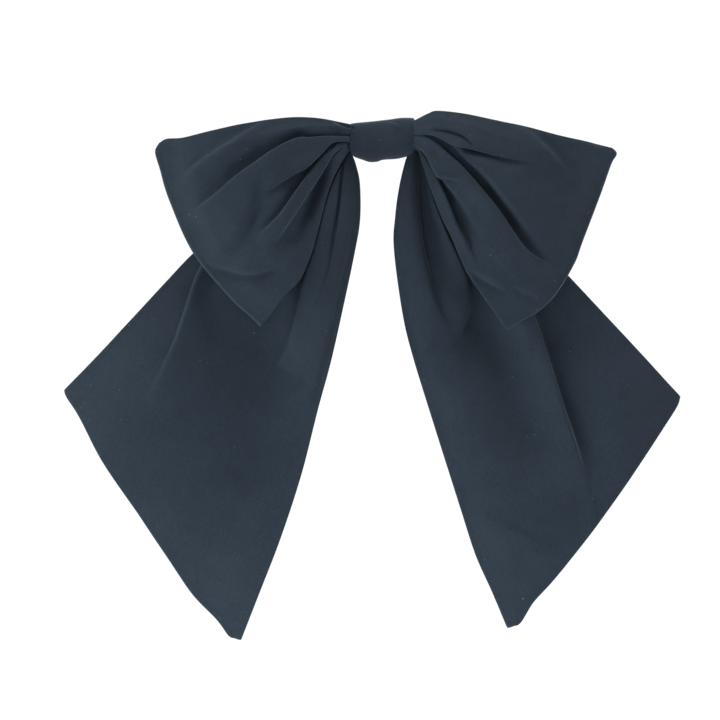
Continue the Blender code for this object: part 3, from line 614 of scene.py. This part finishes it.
def left_loop_folds(at):
    """Front of the left loop: the middle puff over the upper one, then a pleat like a tube."""
    total = np.zeros((3, *at[0].shape))
    total[1] = uneven(at, 3, (0.35, 26), (0.16, 10))
    # The long upper edge of the middle puff, over the upper puff, and a short hollow by it.
    total += lap(
        at, [(-11, 0.9), (-20, 0.6), (-28, -0.4), (-34.5, -1.0), (-41.8, -4.5),
             (-51.2, -10.6), (-60.5, -17), (-69.4, -24.5), (-77, -29), (-85, -30.5)],
        height=(1.6, 2.6, 3.3, 4.4, 4.8, 4.5, 3.8, 2.7, 1.4, 0.7),
        crest=(1.6, 4, 7, 12, 14), valley=(0.9, 1.8, 4.5, 8, 9),
        lip=(0.25, 0.4, 0.6, 1.2), over="left", sink=0.62)
    total += ridge(
        at, [(-29, 1.2), (-33.5, 1.3), (-38, -1.2), (-41, -3.2)],
        height=(0, -1.3, -1.2, 0), width=(1.2, 1.6))
    # The lower edge of the middle puff.
    total += lap(
        at, [(-11, -1.0), (-19.5, -1.8), (-24.4, -6.0), (-30.5, -12.0), (-37.5, -16.2),
             (-44, -20.3), (-48, -25)],
        height=(1.4, 3.0, 4.2, 4.4, 3.2, 1.6, 0.2), crest=(1.2, 2.6, 5, 7, 8),
        valley=(0.8, 1.6, 3.2, 4, 4.5), over="right", sink=0.6)
    # Both edges of the pleat like a tube, and the deep hollow beside it.
    total += lap(
        at, [(-19, -3.6), (-22.5, -6.5), (-26, -10.5), (-32, -18), (-36.5, -24.5),
             (-40.5, -30.3), (-45, -35), (-51.5, -40.5)],
        height=(1.6, 3.0, 3.8, 4.0, 3.6, 3.0, 2.0, 0.2), crest=(1.0, 1.8, 2.8, 3.6, 5),
        valley=(0.8, 1.6, 2.6, 3.0, 3), over="left", sink=0.45, tuck=0.4)
    total += lap(
        at, [(-17.5, -4.2), (-20.3, -7.5), (-23.6, -13), (-28, -19.7), (-32, -26),
             (-36, -32), (-40, -37.8), (-44, -43)],
        height=(2.0, 3.8, 5.2, 5.8, 5.2, 4.0, 2.6, 0.3), crest=(1.0, 1.8, 2.8, 3.6, 5),
        valley=(1.0, 2.4, 4.6, 7, 8), over="right", sink=0.6, tuck=0.4)
    total += ridge(
        at, [(-21.5, -10), (-26.5, -20), (-31.5, -31), (-37, -43)],
        height=(-1.2, -3.8, -3.6, -0.5), width=(2.0, 3.6, 4.6), power=2.0)
    # A soft fold down the open middle, with a faint hollow beside it.
    total += lap(
        at, [(-50, -17), (-51.2, -22), (-52.5, -29), (-56, -37), (-61, -43.5), (-67, -48)],
        height=(0.2, 1.8, 2.8, 2.8, 1.9, 0.3), crest=(7, 9, 10), valley=(4, 5, 5),
        lip=(1.2, 1.6), over="right", tuck=0.1)
    total += ridge(
        at, [(-45, -23), (-50, -30), (-56, -38)],
        height=(0.1, -0.8, -0.1), width=(2.5, 3.5))
    # The crease across the lower corner.
    total += lap(
        at, [(-71, -50.5), (-66, -51.6), (-60, -53.2), (-53, -54.3), (-46, -52.5),
             (-40, -48.5)],
        height=(0.4, 1.8, 2.5, 2.3, 1.4, 0.2), crest=(5, 8, 8), valley=(2.6, 3.6, 3.6),
        lip=(0.7, 0.7), over="left", tuck=0.1, sink=0.75)
    # A long soft fold from the top edge, and a small tuck beside the knot.
    total += lap(
        at, [(-44, 8.0), (-52, 3.6), (-63, -3.2), (-74, -10.2), (-84, -19)],
        height=(0.3, 2.0, 2.5, 2.1, 0.3), crest=(5, 7, 9), valley=(5, 8, 9),
        lip=(0.8, 1.1), over="left", sink=0.5, tuck=0.1)
    total += lap(
        at, [(-11, 3.9), (-15, 4.3), (-19, 5.9), (-23, 7.6)],
        height=(0.9, 1.8, 1.2, 0.1), crest=(1.2, 2.2, 3), valley=(0.9, 1.4, 1.6),
        lip=(0.3, 0.5), over="left", tuck=0.3)
    return total


def right_loop_folds(at):
    """Front of the right loop: one deep gap under the upper puff, and pleats below it."""
    total = np.zeros((3, *at[0].shape))
    total[1] = uneven(at, 13, (0.35, 26), (0.16, 10))
    # The lower edge of the upper puff, and a smaller fold on it.
    total += lap(
        at, [(11, 1.9), (19, 1.4), (23, 0), (29, -3.4), (36, -5.0), (45, -7.2),
             (54, -8.8), (65, -10.6)],
        height=(1.2, 2.4, 2.8, 3.2, 3.0, 2.2, 1.4, 0.2), crest=(1.4, 3, 6, 8, 9),
        valley=(0.8, 1.6, 2.6, 3.5, 4), lip=(0.25, 0.5, 0.9, 1.2), over="left", sink=0.6)
    total += lap(
        at, [(16, 3.2), (23, 3.4), (29, 2.4), (34, -0.2), (37.5, -4.2)],
        height=(0.2, 1.6, 2.2, 2.2, 0.3), crest=(3, 4, 4), valley=(1.4, 1.8, 2.0),
        lip=(0.6, 0.5), over="left", tuck=0.2)
    # Both edges of the deep gap, and its floor.
    total += lap(
        at, [(22, -0.4), (27, -3.2), (31, -6.3), (34.5, -9.6), (38.5, -13.2),
             (43.5, -18.8), (49, -26), (56, -35), (63, -42.8), (69, -48.5)],
        height=(0.3, 1.5, 2.3, 2.7, 2.9, 3.0, 2.9, 2.3, 1.3, 0.3), crest=(2.2, 6, 11, 13),
        valley=(1.2, 1.8, 2.6, 3, 3.4), lip=(0.4, 0.9, 1.7, 2.2), over="left", sink=0.5,
        tuck=0.15)
    total += lap(
        at, [(11, 0.9), (17, 0.3), (22, -2.4), (27, -7.2), (32, -11.9), (40, -21),
             (45, -27), (50, -33.8), (57, -44), (63, -48.6), (69, -51.5)],
        height=(1.4, 2.2, 2.6, 3.0, 3.6, 4.3, 4.5, 4.1, 2.9, 1.7, 0.3),
        crest=(1.4, 3, 6, 8, 9), valley=(0.8, 1.4, 2.4, 3.2, 3.6),
        lip=(0.25, 0.4, 0.5, 0.8), over="right", sink=0.68, tuck=0.2)
    total += ridge(
        at, [(25, -3.2), (30, -7.6), (36, -13.2), (42, -20), (50, -30.4), (58, -41),
             (66, -48.5)],
        height=(-0.2, -0.4, -0.8, -1.0, -1.0, -0.8, -0.2), width=(1.2, 2.2, 2.8, 3.4),
        power=1.8)
    # The broad hollow between the pleats.
    total += ridge(
        at, [(26.5, -18), (32.5, -25.5), (38.5, -35), (43.5, -46)],
        height=(-1.2, -2.8, -2.6, -0.6), width=(3.4, 5.8, 6.8), power=2.0)
    # A small pleat out of the knot, and a soft one that follows it.
    total += lap(
        at, [(12, -2.4), (16.6, -5.2), (19.8, -11), (22.8, -15.6), (26.4, -16.4),
             (31, -17.4)],
        height=(1.2, 2.4, 3.0, 3.2, 2.4, 0.2), crest=(1.2, 2.2, 4, 5),
        valley=(0.8, 1.2, 2.0, 2.0), lip=(0.3, 0.45), over="left", sink=0.5, tuck=0.4)
    total += lap(
        at, [(23, -16), (27.2, -20.2), (31, -25.2), (35, -31.2), (39, -36.4), (43, -41)],
        height=(2.0, 2.2, 1.9, 1.5, 0.9, 0.1), crest=(4, 5, 6), valley=(3.2, 4.4, 5),
        lip=(0.5, 0.8, 1.4), over="left", sink=0.5, tuck=0.25)
    # The pleat along the lower seam.
    total += lap(
        at, [(17.4, -8.5), (20.5, -13.8), (23.8, -19.6), (27, -27), (30, -34.6),
             (33.8, -41.4), (37.5, -49)],
        height=(1.0, 2.6, 4.0, 4.4, 3.6, 2.2, 0.2), crest=(1.2, 1.8, 2.4, 3, 4),
        valley=(1.2, 3.0, 4.2, 5, 5), over="right", sink=0.6, tuck=0.35)
    # A soft fold from the top edge, and two short creases near the lower corner.
    total += lap(
        at, [(54.8, 5.2), (60.8, 0.5), (67.8, -6.4), (77, -15.8)],
        height=(0.6, 1.9, 1.8, 0.2), crest=(4, 6, 8), valley=(4, 5, 6),
        lip=(0.9, 1.3), over="right", sink=0.4, tuck=0.1)
    total += lap(
        at, [(36, -53), (41, -56.2), (47, -59.6), (50, -62)],
        height=(0.2, 1.8, 1.5, 0.1), crest=(4, 5), valley=(3, 3),
        lip=(0.9, 1.2), over="left", tuck=0.1)
    total += lap(
        at, [(53, -60), (58, -62), (63, -63.2), (69, -62.6)],
        height=(0.1, 1.8, 1.7, 0.1), crest=(4, 5), valley=(2.5, 3),
        lip=(0.9, 1.2), over="left", tuck=0.1)
    return total


# ---------------- tails

TAIL_ACROSS, TAIL_ALONG = 240, 210  # grid points across a tail and along it
TAIL_SEAM_SHARE = 0.02  # share of the cloth over which a fold's sideways lap fades at a seam
HANG_SHARE = 0.45  # share of the length past which a tail hangs free
END_CURL, END_CURL_START = 8.5, 0.76  # how far a tail's end curls back, mm, and from which share

LEFT_TAIL = {
    "inner": [(-12.8, -2), (-12.2, -6.5), (-11.0, -10), (-9.4, -17.7), (-9.3, -31.7),
              (-11.2, -43.8), (-15.5, -64.4), (-21.1, -89.2), (-26.7, -109.8), (-33.3, -135.9),
              (-41.8, -162), (-51.2, -186.3), (-57.8, -203.2)],
    "outer": [(-16.5, -1), (-26, -8), (-45, -20), (-62, -32.5), (-76.9, -45.5), (-87.5, -56.8),
              (-102.8, -73.6), (-117.1, -89.2), (-129.6, -101.8)],
    "end": [(-57.8, -203.2), (-59.9, -202.4), (-62.2, -201.4), (-67, -194.8), (-76.8, -184.5),
            (-86.1, -170.9), (-99.2, -151.3), (-113.2, -130.3), (-122.9, -112.6),
            (-128.4, -104.6), (-129.6, -101.8)],
}

RIGHT_TAIL = {
    "inner": [(12.6, -1.5), (11.6, -5), (10, -8.5), (7.4, -19.6), (5.9, -31), (5.4, -43.8),
              (8.9, -69.9), (13.6, -89.2), (22.9, -119.2), (32.3, -149), (38.6, -168.5),
              (45.3, -183.5), (51.6, -198.4)],
    "outer": [(16.5, -1), (28, -10), (47, -26), (64, -42.5), (75.4, -54.4), (93.9, -74.6),
              (107.3, -89.3), (115.5, -98.2), (121.5, -104.4)],
    "end": [(51.6, -198.4), (53.6, -197.6), (56.4, -196.1), (61.5, -187.7), (69.9, -178.4),
            (82.4, -163), (94.2, -147.1), (107.0, -128.3), (119.6, -109.8), (121.9, -104.4)],
}


def tail_grid(edges, folds):
    """Middle surface of a tail between its two seams and its slanted end."""
    root = [edges["inner"][0], edges["outer"][0]]
    xz = patch(edges["inner"], edges["outer"], root, edges["end"], TAIL_ACROSS, TAIL_ALONG)
    x, z = xz[..., 0], xz[..., 1]
    u, v = shares(TAIL_ACROSS, TAIL_ALONG)
    fold = folds((x, z), u, v)
    sides, end = np.minimum(u, 1 - u), 1 - v
    keep = eased(sides / TAIL_SEAM_SHARE) * eased(end / TAIL_SEAM_SHARE)
    return np.stack([x + keep * fold[0], -fold[1], z + keep * fold[2]], 2)


def hanging_depth(at, u, v, course, section, seed):
    """Depth of a tail before its folds, with its unevenness and the curl of its end.

    The course is its depth along it, and the section is added across it where it hangs
    free. Both are given at even steps, in mm.
    """
    hang = eased(v / HANG_SHARE)
    curl = END_CURL * np.clip((v - END_CURL_START) / (1 - END_CURL_START), 0, 1) ** 2
    soft = uneven(at, seed, (0.35, 45), (0.10, 14))
    return spread(v, course) + soft + spread(u, section) * hang - curl


def left_tail_folds(at, u, v):
    """Left tail: its inner pleats roll out in front of the loop, and the rest hangs behind it."""
    # The inner roll, along the edge where it comes round in front of the loop.
    total = lap(
        at, [(-12.6, -3), (-14.4, -6.0), (-18.6, -14), (-22.6, -25.5), (-27.4, -44),
             (-32.2, -57.5), (-34.6, -70), (-38.6, -83), (-43.4, -91)],
        height=(1.5, 5.5, 8.5, 9.5, 9.2, 8.2, 6.2, 3.6, 0.2), crest=(5, 9, 13, 18, 22),
        valley=(0.5, 0.5), lip=(0.4, 0.5, 0.6, 0.9), over="left", sink=0.0, tuck=0.24)
    total[1] += hanging_depth(
        at, u, v, seed=23,
        course=(15.5, 14.6, 13.4, 12.6, 13.0, 14.6, 17.0, 20.2, 24.0),
        section=(-2.4, -1.2, -0.8, -0.8, -0.6, 0, 1.4, 1.6, -1.6, -6.5))
    # A pleat within the roll, and a narrow one beside the inner seam.
    total += lap(
        at, [(-14.4, -6), (-15.4, -12), (-16.3, -20), (-17.2, -28), (-19.6, -42),
             (-22, -54), (-26, -64)],
        height=(1.2, 2.8, 3.6, 3.2, 2.2, 1.4, 0.2), crest=(1.2, 2.2, 3, 4, 5),
        valley=(1.0, 2.0, 3.0, 3.6, 5), over="left", sink=0.65, tuck=0.3)
    total += lap(
        at, [(-11.6, -8), (-11.8, -20), (-12.2, -32), (-14, -45), (-18.3, -62),
             (-22.6, -82), (-27, -102), (-30, -114)],
        height=(0.2, 0.5, 0.9, 1.3, 1.4, 1.2, 0.8, 0.1), crest=(2.2, 3, 4, 6, 8),
        valley=(2, 3, 3, 4), lip=(0.6, 0.7), over="right", sink=0.7, tuck=0.15)
    # Below the end of the roll: a soft hollow, and a crease across.
    total += ridge(
        at, [(-44, -93), (-46.7, -114.9), (-56.4, -146.6), (-68, -167)],
        height=(-0.6, -1.6, -1.3, -0.1), width=(4, 8, 11, 10))
    total += lap(
        at, [(-44, -109), (-38, -107), (-32, -103.5), (-25, -100)],
        height=(0.1, 0.9, 0.8, 0.2), crest=(5, 6), valley=(4, 5),
        lip=(1.6, 1.6), over="left", tuck=0.1)
    # The outer fold that comes out from behind the loop, with a hollow beside it.
    total += lap(
        at, [(-68, -40), (-73.9, -51.2), (-77.2, -59), (-80.2, -69), (-84, -81),
             (-88.6, -91.5), (-97, -110)],
        height=(1.0, 2.0, 2.2, 2.0, 1.6, 0.8, 0.1), crest=(3, 4, 6, 8),
        valley=(7, 10, 12, 14), lip=(0.4, 0.5, 0.8), over="left", sink=0.45, tuck=0.25)
    total += ridge(
        at, [(-65, -48), (-69.5, -62), (-71, -83.2), (-69, -112)],
        height=(-1.0, -1.8, -1.8, -0.3), width=(5.5, 7.5, 10))
    # The broad hollow down the middle.
    total += ridge(
        at, [(-52, -50), (-53, -78), (-51, -106), (-56, -138), (-66, -168)],
        height=(-4.0, -6.0, -6.0, -4.2, -0.5), width=(19, 23, 24, 19), power=2.6)
    return total


def right_tail_folds(at, u, v):
    """Right tail: an inner roll and pleat, then one long fold that laps over the outer part."""
    total = np.zeros((3, *at[0].shape))
    total[1] = hanging_depth(
        at, u, v, seed=33,
        course=(14.0, 13.4, 12.6, 12.4, 13.0, 14.4, 16.4, 19.2, 22.6),
        section=(-2.5, 0, 0.8, 0.2, -0.4, -0.2, 0.6, -0.8, -3.2, -4.6))
    # The inner roll: its edge, its body, and a rounded pleat beside it.
    total += lap(
        at, [(13.4, -3), (14.4, -8), (14.8, -20), (15.4, -31), (17, -43), (19.2, -53),
             (22, -64), (27, -76)],
        height=(0.8, 1.6, 2.3, 2.9, 3.0, 2.5, 1.4, 0.2), crest=(2, 4.5, 6, 8, 10),
        valley=(1.2, 2.0, 3.2, 4.4, 5.4), lip=(0.35, 0.6, 1.4), over="right", sink=0.45,
        tuck=0.25)
    total += ridge(
        at, [(13.4, 0), (11.6, -8), (10.2, -25), (11, -45), (15, -68)],
        height=(4.0, 5.6, 4.4, 2.6, 0.3), width=(3.6, 5.2, 6.6, 8), power=2.6)
    total += ridge(
        at, [(16.4, -5), (18.2, -14), (20.8, -24), (24.5, -33), (29.5, -44), (33, -53)],
        height=(2.0, 3.2, 3.2, 2.6, 1.6, 0.4), width=(1.2, 2.0, 2.6, 3.2), power=2)
    # The inner pleat, whose end bends back towards the inner seam.
    total += lap(
        at, [(18, -8), (21, -22), (27, -38), (33, -50), (36, -59), (36, -66),
             (34.4, -73), (30.5, -80)],
        height=(0.4, 1.2, 2.0, 3.0, 3.6, 3.4, 2.6, 0.3), crest=(2, 4, 6, 8, 9),
        valley=(2, 3, 4, 5), lip=(0.5, 0.7, 0.9), over="right", sink=0.5, tuck=0.3)
    # The long fold, lapping over the outer part, and the hollow on its inner side.
    total += ridge(
        at, [(42, -60), (47, -78), (52, -94), (58, -112), (67, -136)],
        height=(-1.8, -4.2, -4.6, -3.6, -0.3), width=(8, 12, 15, 13), power=2)
    total += lap(
        at, [(56, -54), (61.5, -69), (66, -82), (69.8, -94), (74, -108),
             (78.5, -121.5), (84, -140)],
        height=(5.0, 6.0, 6.4, 6.3, 5.8, 4.6, 0.4), crest=(8, 9, 10),
        valley=(14, 18, 20, 18), lip=(0.7, 0.8, 1.0), over="right", sink=0.82, tuck=0.25)
    # A soft crease above the end.
    total += lap(
        at, [(36, -150), (48, -155), (60, -160.5), (76, -170)],
        height=(0.1, 1.3, 1.3, 0.1), crest=(9, 10), valley=(7, 8),
        lip=(2.0, 2.4), over="right", tuck=0.1)
    return total


# ---------------- knot

BAND_TOP = [(-13.2, 7.0), (-6, 7.4), (2.4, 8.3), (7.3, 9.0), (13.2, 9.4)]
BAND_BOTTOM = [(-13.2, -7.2), (-9.3, -8.1), (-6.4, -8.8), (-2.6, -8.7), (0.7, -7.9),
               (7.7, -7.5), (13.2, -6.6)]
BAND_HALF_WIDTH = BAND_TOP[-1][0]
BAND_FRONT, BAND_REAR = 24.2, 9.9  # depth of the band's outer faces in front of the origin
BAND_WALL = 1.3
BAND_END_ROLL = 0.65  # radius of the band's folded side edges
BAND_ROUND = 2.7  # power of the band's oval section
BAND_CROWN, BAND_CROWN_POWER = 0.5, 5  # how far, and how late, its outer face drops at the sides
BAND_TAPER, BAND_TAPER_TOP, BAND_TAPER_REACH = 0.21, -3.2, 5.6  # how its lower corners draw in
BAND_AROUND, BAND_ALONG, BAND_BEND = 150, 90, 9  # grid points round it, along it and round an edge
OUTLINE_STEPS = 60


def profile_at(x, points):
    """Height of a smooth outline at each x."""
    line = smooth_path(points, OUTLINE_STEPS)
    return np.interp(x, line[:, 0], line[:, 1])


def band_profile():
    """(x, how far in from the outer face) round the band's wall, as a closed section."""
    half = BAND_HALF_WIDTH - BAND_END_ROLL
    roll = BAND_WALL / 2
    outer = [(x, 0.0) for x in np.linspace(-half, half, BAND_ALONG)]
    bend = np.linspace(math.pi / 2, -math.pi / 2, BAND_BEND)[1:-1]
    right = [(half + BAND_END_ROLL * math.cos(a), roll - roll * math.sin(a)) for a in bend]
    inner = [(x, BAND_WALL) for x in np.linspace(half, -half, BAND_ALONG // 3)]
    left = [(-half - BAND_END_ROLL * math.cos(a), roll + roll * math.sin(a)) for a in bend]
    return np.array(outer + right + inner + left)


def band_folds(at):
    """Depth of the band's creases: a tuck at the top, its folded edges and two soft waves."""
    total = lap(
        at, [(1.5, 7.0), (4.5, 6.6), (7.2, 5.4), (8.6, 4.2)],
        height=(0.05, 1.4, 1.2, 0.05), crest=(1.4, 1.6), valley=(1.0, 1.2),
        lip=(0.25, 0.3), over="right", tuck=0.2)
    total += ridge(
        at, [(-12.1, 7), (-12.0, 0), (-12.2, -8)],
        height=(-0.15, -0.12, -0.15), width=(0.45, 0.45))
    total += ridge(
        at, [(12.2, 9), (11.9, 1), (12.0, -7)],
        height=(-0.12, -0.1, -0.12), width=(0.45, 0.45))
    total += ridge(
        at, [(-9.5, -8.4), (-8.4, -3), (-8.9, 3)],
        height=(0.35, 0.3, 0.0), width=(1.3, 1.8))
    total += ridge(
        at, [(-2.4, -8.8), (-1.4, -4), (-1.8, 1)],
        height=(-0.35, -0.25, 0.0), width=(1.1, 1.6))
    return total[1]


def band_points(x, inset):
    """Points of the band in mm, for each turn round it and each place in its section."""
    turn = np.linspace(0, 2 * math.pi, BAND_AROUND, endpoint=False)[:, None]
    top, bottom = profile_at(x, BAND_TOP), profile_at(x, BAND_BOTTOM)
    middle, half_height = (top + bottom) / 2, (top - bottom) / 2
    centre, half_depth = (BAND_FRONT + BAND_REAR) / 2, (BAND_FRONT - BAND_REAR) / 2
    drop = BAND_CROWN * np.abs(x / BAND_HALF_WIDTH) ** BAND_CROWN_POWER * (inset < BAND_WALL)
    c, s = np.cos(turn), np.sin(turn)
    bulge = (np.abs(c) ** BAND_ROUND + np.abs(s) ** BAND_ROUND) ** (-1 / BAND_ROUND)
    z = middle + (half_height - inset - drop) * bulge * s
    depth = centre + (half_depth - inset - drop) * bulge * c
    front = np.clip(c, 0, 1) * (inset < BAND_WALL / 2)
    at = (x + 0 * z, z)
    depth = depth + front * uneven(at, 41, (0.10, 11), (0.05, 4))
    depth = depth + front * band_folds(at)
    narrowed = at[0] * (1 - BAND_TAPER * eased((BAND_TAPER_TOP - z) / BAND_TAPER_REACH))
    return np.stack([narrowed, -depth, z], 2)


def knot_band():
    """The narrow sash wrapped round the gathers: an oval sleeve with folded side edges."""
    x, inset = band_profile().T[:, None, :]
    points = band_points(x, inset) * MM
    around, section = points.shape[:2]
    index = np.arange(around * section).reshape(around, section)
    across, up = np.roll(index, -1, 1), np.roll(index, -1, 0)
    faces = np.stack([index, across, np.roll(up, -1, 1), up], 2).reshape(-1, 4)
    lengths = np.linalg.norm(np.diff(points, axis=0, append=points[:1]), axis=2).cumsum(0)
    flat = np.stack([x * MM + 0 * lengths, lengths], 2).reshape(-1, 2)
    return closed_mesh("wrapped_band", points.reshape(-1, 3), faces, flat)


# ---------------- assembly

# Cut sizes of the doubled sashes as they would lie flat, width and length in mm.
LOOP_FLAT = (88.0, 165.0)
TAIL_FLAT = (106.0, 204.0)
BAND_FLAT = (26.5, 52.0)


def build_pieces():
    """The cloth pieces by the node that each one stands for, with their cut sizes in mm."""
    left_loop = loop_grid(LEFT_LOOP, left_loop_folds)
    right_loop = loop_grid(RIGHT_LOOP, right_loop_folds)
    left_tail = tail_grid(LEFT_TAIL, left_tail_folds)
    right_tail = tail_grid(RIGHT_TAIL, right_tail_folds)
    loop_seams, tail_seams = ("first", "last"), ("first", "last", "end")
    return {
        "left_loop": (cloth("left_loop_sash", left_loop, loop_seams), LOOP_FLAT),
        "right_loop": (cloth("right_loop_sash", right_loop, loop_seams), LOOP_FLAT),
        "left_tail": (cloth("left_tail_sash", left_tail, tail_seams), TAIL_FLAT),
        "right_tail": (cloth("right_tail_sash", right_tail, tail_seams), TAIL_FLAT),
        "knot_band": (knot_band(), BAND_FLAT),
    }


def place_pieces(weave):
    """Gives each cloth piece its finish and hides the CAD node that it stands for; the knot band is
    attached to the knot's body, and the loops and tails to none.
    """
    for node, (piece, flat) in build_pieces().items():
        piece.data.materials.append(weave)
        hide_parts(node)
        if node.endswith("loop"):
            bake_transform(piece)
        elif node.endswith("tail"):
            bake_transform(piece)
        else:
            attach(piece, "knot")


def finish_hardware():
    """Better finishes for the CAD nodes that stay: clip, felt, threads and gathered core."""
    metal, spring, thread = nickel(), spring_steel(), spun_thread()
    finishes = {
        "sash_core": poplin("poplin_core", on_uv=False),
        "gathering_thread": thread,
        "band_stitching": thread,
        "plate_lashing_left": thread,
        "plate_lashing_right": thread,
        "felt_pad": felt(),
        "tension_bar": spring,
        "catch_tab_upper": spring,
        "catch_tab_lower": spring,
    }
    for name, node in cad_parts.items():
        for slot in node.material_slots:
            slot.material = finishes.get(name, metal)


# ---------------- scene

FLOOR_RADIUS, FLOOR_HEIGHT, FLOOR_SIDES = 2.4, -0.62, 96
FLOOR_GREY, FLOOR_ROUGHNESS = 0.88, 0.9
SURROUND_LEVEL, SURROUND_OVERHEAD = 1.03, 0.2  # strength of the surround, level and overhead
SURROUND_START, SURROUND_END = 0.18, 0.42  # heights of a direction between which it dims
WHITE = (1, 1, 1)
COOL = (0.93, 0.98, 1.0)  # tint of the light that comes from the left and from below

# Round soft lights: the place of each, the point it faces, its size in metres, watts, tint.
LIGHTS = {
    "key": ((-0.50, -0.12, 0.12), (-0.06, -0.02, -0.06), 0.30, 4.6, WHITE),
    "top_light": ((0.0, -0.16, 0.50), (0, -0.02, -0.06), 0.30, 6.6, WHITE),
    "left_fill": ((-0.44, -0.17, -0.24), (-0.08, -0.02, -0.13), 0.30, 4.0, COOL),
    "right_fill": ((0.48, -0.18, 0.30), (0.08, -0.02, -0.02), 0.35, 5.2, WHITE),
    "low_right_fill": ((0.42, -0.14, -0.36), (0.05, -0.02, -0.13), 0.30, 1.3, WHITE),
    "low_fill": ((-0.02, -0.18, -0.42), (0, -0.02, -0.20), 0.20, 2.8, COOL),
    "front_fill": ((0.0, -1.25, 0.10), (0, -0.02, -0.09), 0.90, 5.0, WHITE),
    "back_fill": ((0.35, 0.80, 0.40), (0, 0, -0.08), 0.90, 20.0, WHITE),
}

VIEW_CENTRE = (-0.0089, -0.018, -0.0893)  # point of the bow in the middle of the picture
VIEW_WIDTH = 0.2923  # width of the picture at that point, metres
LENS, SENSOR = 120.0, 36.0


def build_floor():
    """Round pale floor below the hanging bow."""
    turns = [2 * math.pi * k / FLOOR_SIDES for k in range(FLOOR_SIDES)]
    corners = [(FLOOR_RADIUS * math.cos(a), FLOOR_RADIUS * math.sin(a), FLOOR_HEIGHT) for a in turns]
    mesh = bpy.data.meshes.new("floor")
    mesh.from_pydata(corners, [], [list(range(FLOOR_SIDES))])
    floor = bpy.data.objects.new("floor", mesh)
    bpy.context.collection.objects.link(floor)
    pale, _, shader = new_material("pale_floor")
    set_values(shader, Base_Color=(FLOOR_GREY, FLOOR_GREY, FLOOR_GREY, 1), Roughness=FLOOR_ROUGHNESS)
    mesh.materials.append(pale)


def build_surround():
    """White surround, even up to a little above the bow and dimmer overhead."""
    world = bpy.data.worlds.new("studio")
    world.use_nodes = True
    tree = world.node_tree
    background = tree.nodes["Background"]
    set_values(background, Color=(*WHITE, 1))
    direction = tree.nodes.new("ShaderNodeSeparateXYZ")
    tree.links.new(tree.nodes.new("ShaderNodeTexCoord").outputs["Generated"], direction.inputs[0])
    strength = tree.nodes.new("ShaderNodeMapRange")
    set_values(strength, From_Min=SURROUND_START, From_Max=SURROUND_END)
    set_values(strength, To_Min=SURROUND_LEVEL, To_Max=SURROUND_OVERHEAD)
    tree.links.new(direction.outputs["Z"], strength.inputs["Value"])
    tree.links.new(strength.outputs["Result"], background.inputs["Strength"])
    bpy.context.scene.world = world
    bpy.context.scene.view_settings.view_transform = "Standard"


def area_light(name, place, target, size, watts, tint):
    """Round area light that faces a target and isn't seen by the camera."""
    light = bpy.data.lights.new(name, "AREA")
    light.shape = "DISK"
    light.size = size
    light.energy = watts
    light.color = tint
    made = bpy.data.objects.new(name, light)
    made.location = place
    made.rotation_euler = (Vector(target) - Vector(place)).to_track_quat("-Z", "Y").to_euler()
    made.visible_camera = False
    bpy.context.collection.objects.link(made)


def build_camera():
    """Long lens, level with the bow and square on to it, as the product is shown."""
    camera = bpy.data.cameras.new("camera")
    camera.lens = LENS
    camera.sensor_width = SENSOR
    made = bpy.data.objects.new("camera", camera)
    made.location = Vector(VIEW_CENTRE) + Vector((0, -VIEW_WIDTH * LENS / SENSOR, 0))
    made.rotation_euler = (math.pi / 2, 0, 0)
    bpy.context.collection.objects.link(made)
    bpy.context.scene.camera = made


def main():
    """Builds the stage, the lights and the camera, then the bow's cloth and finishes."""
    build_floor()
    build_surround()
    for name, light in LIGHTS.items():
        area_light(name, *light)
    build_camera()
    place_pieces(poplin("poplin_weave"))
    finish_hardware()


main()
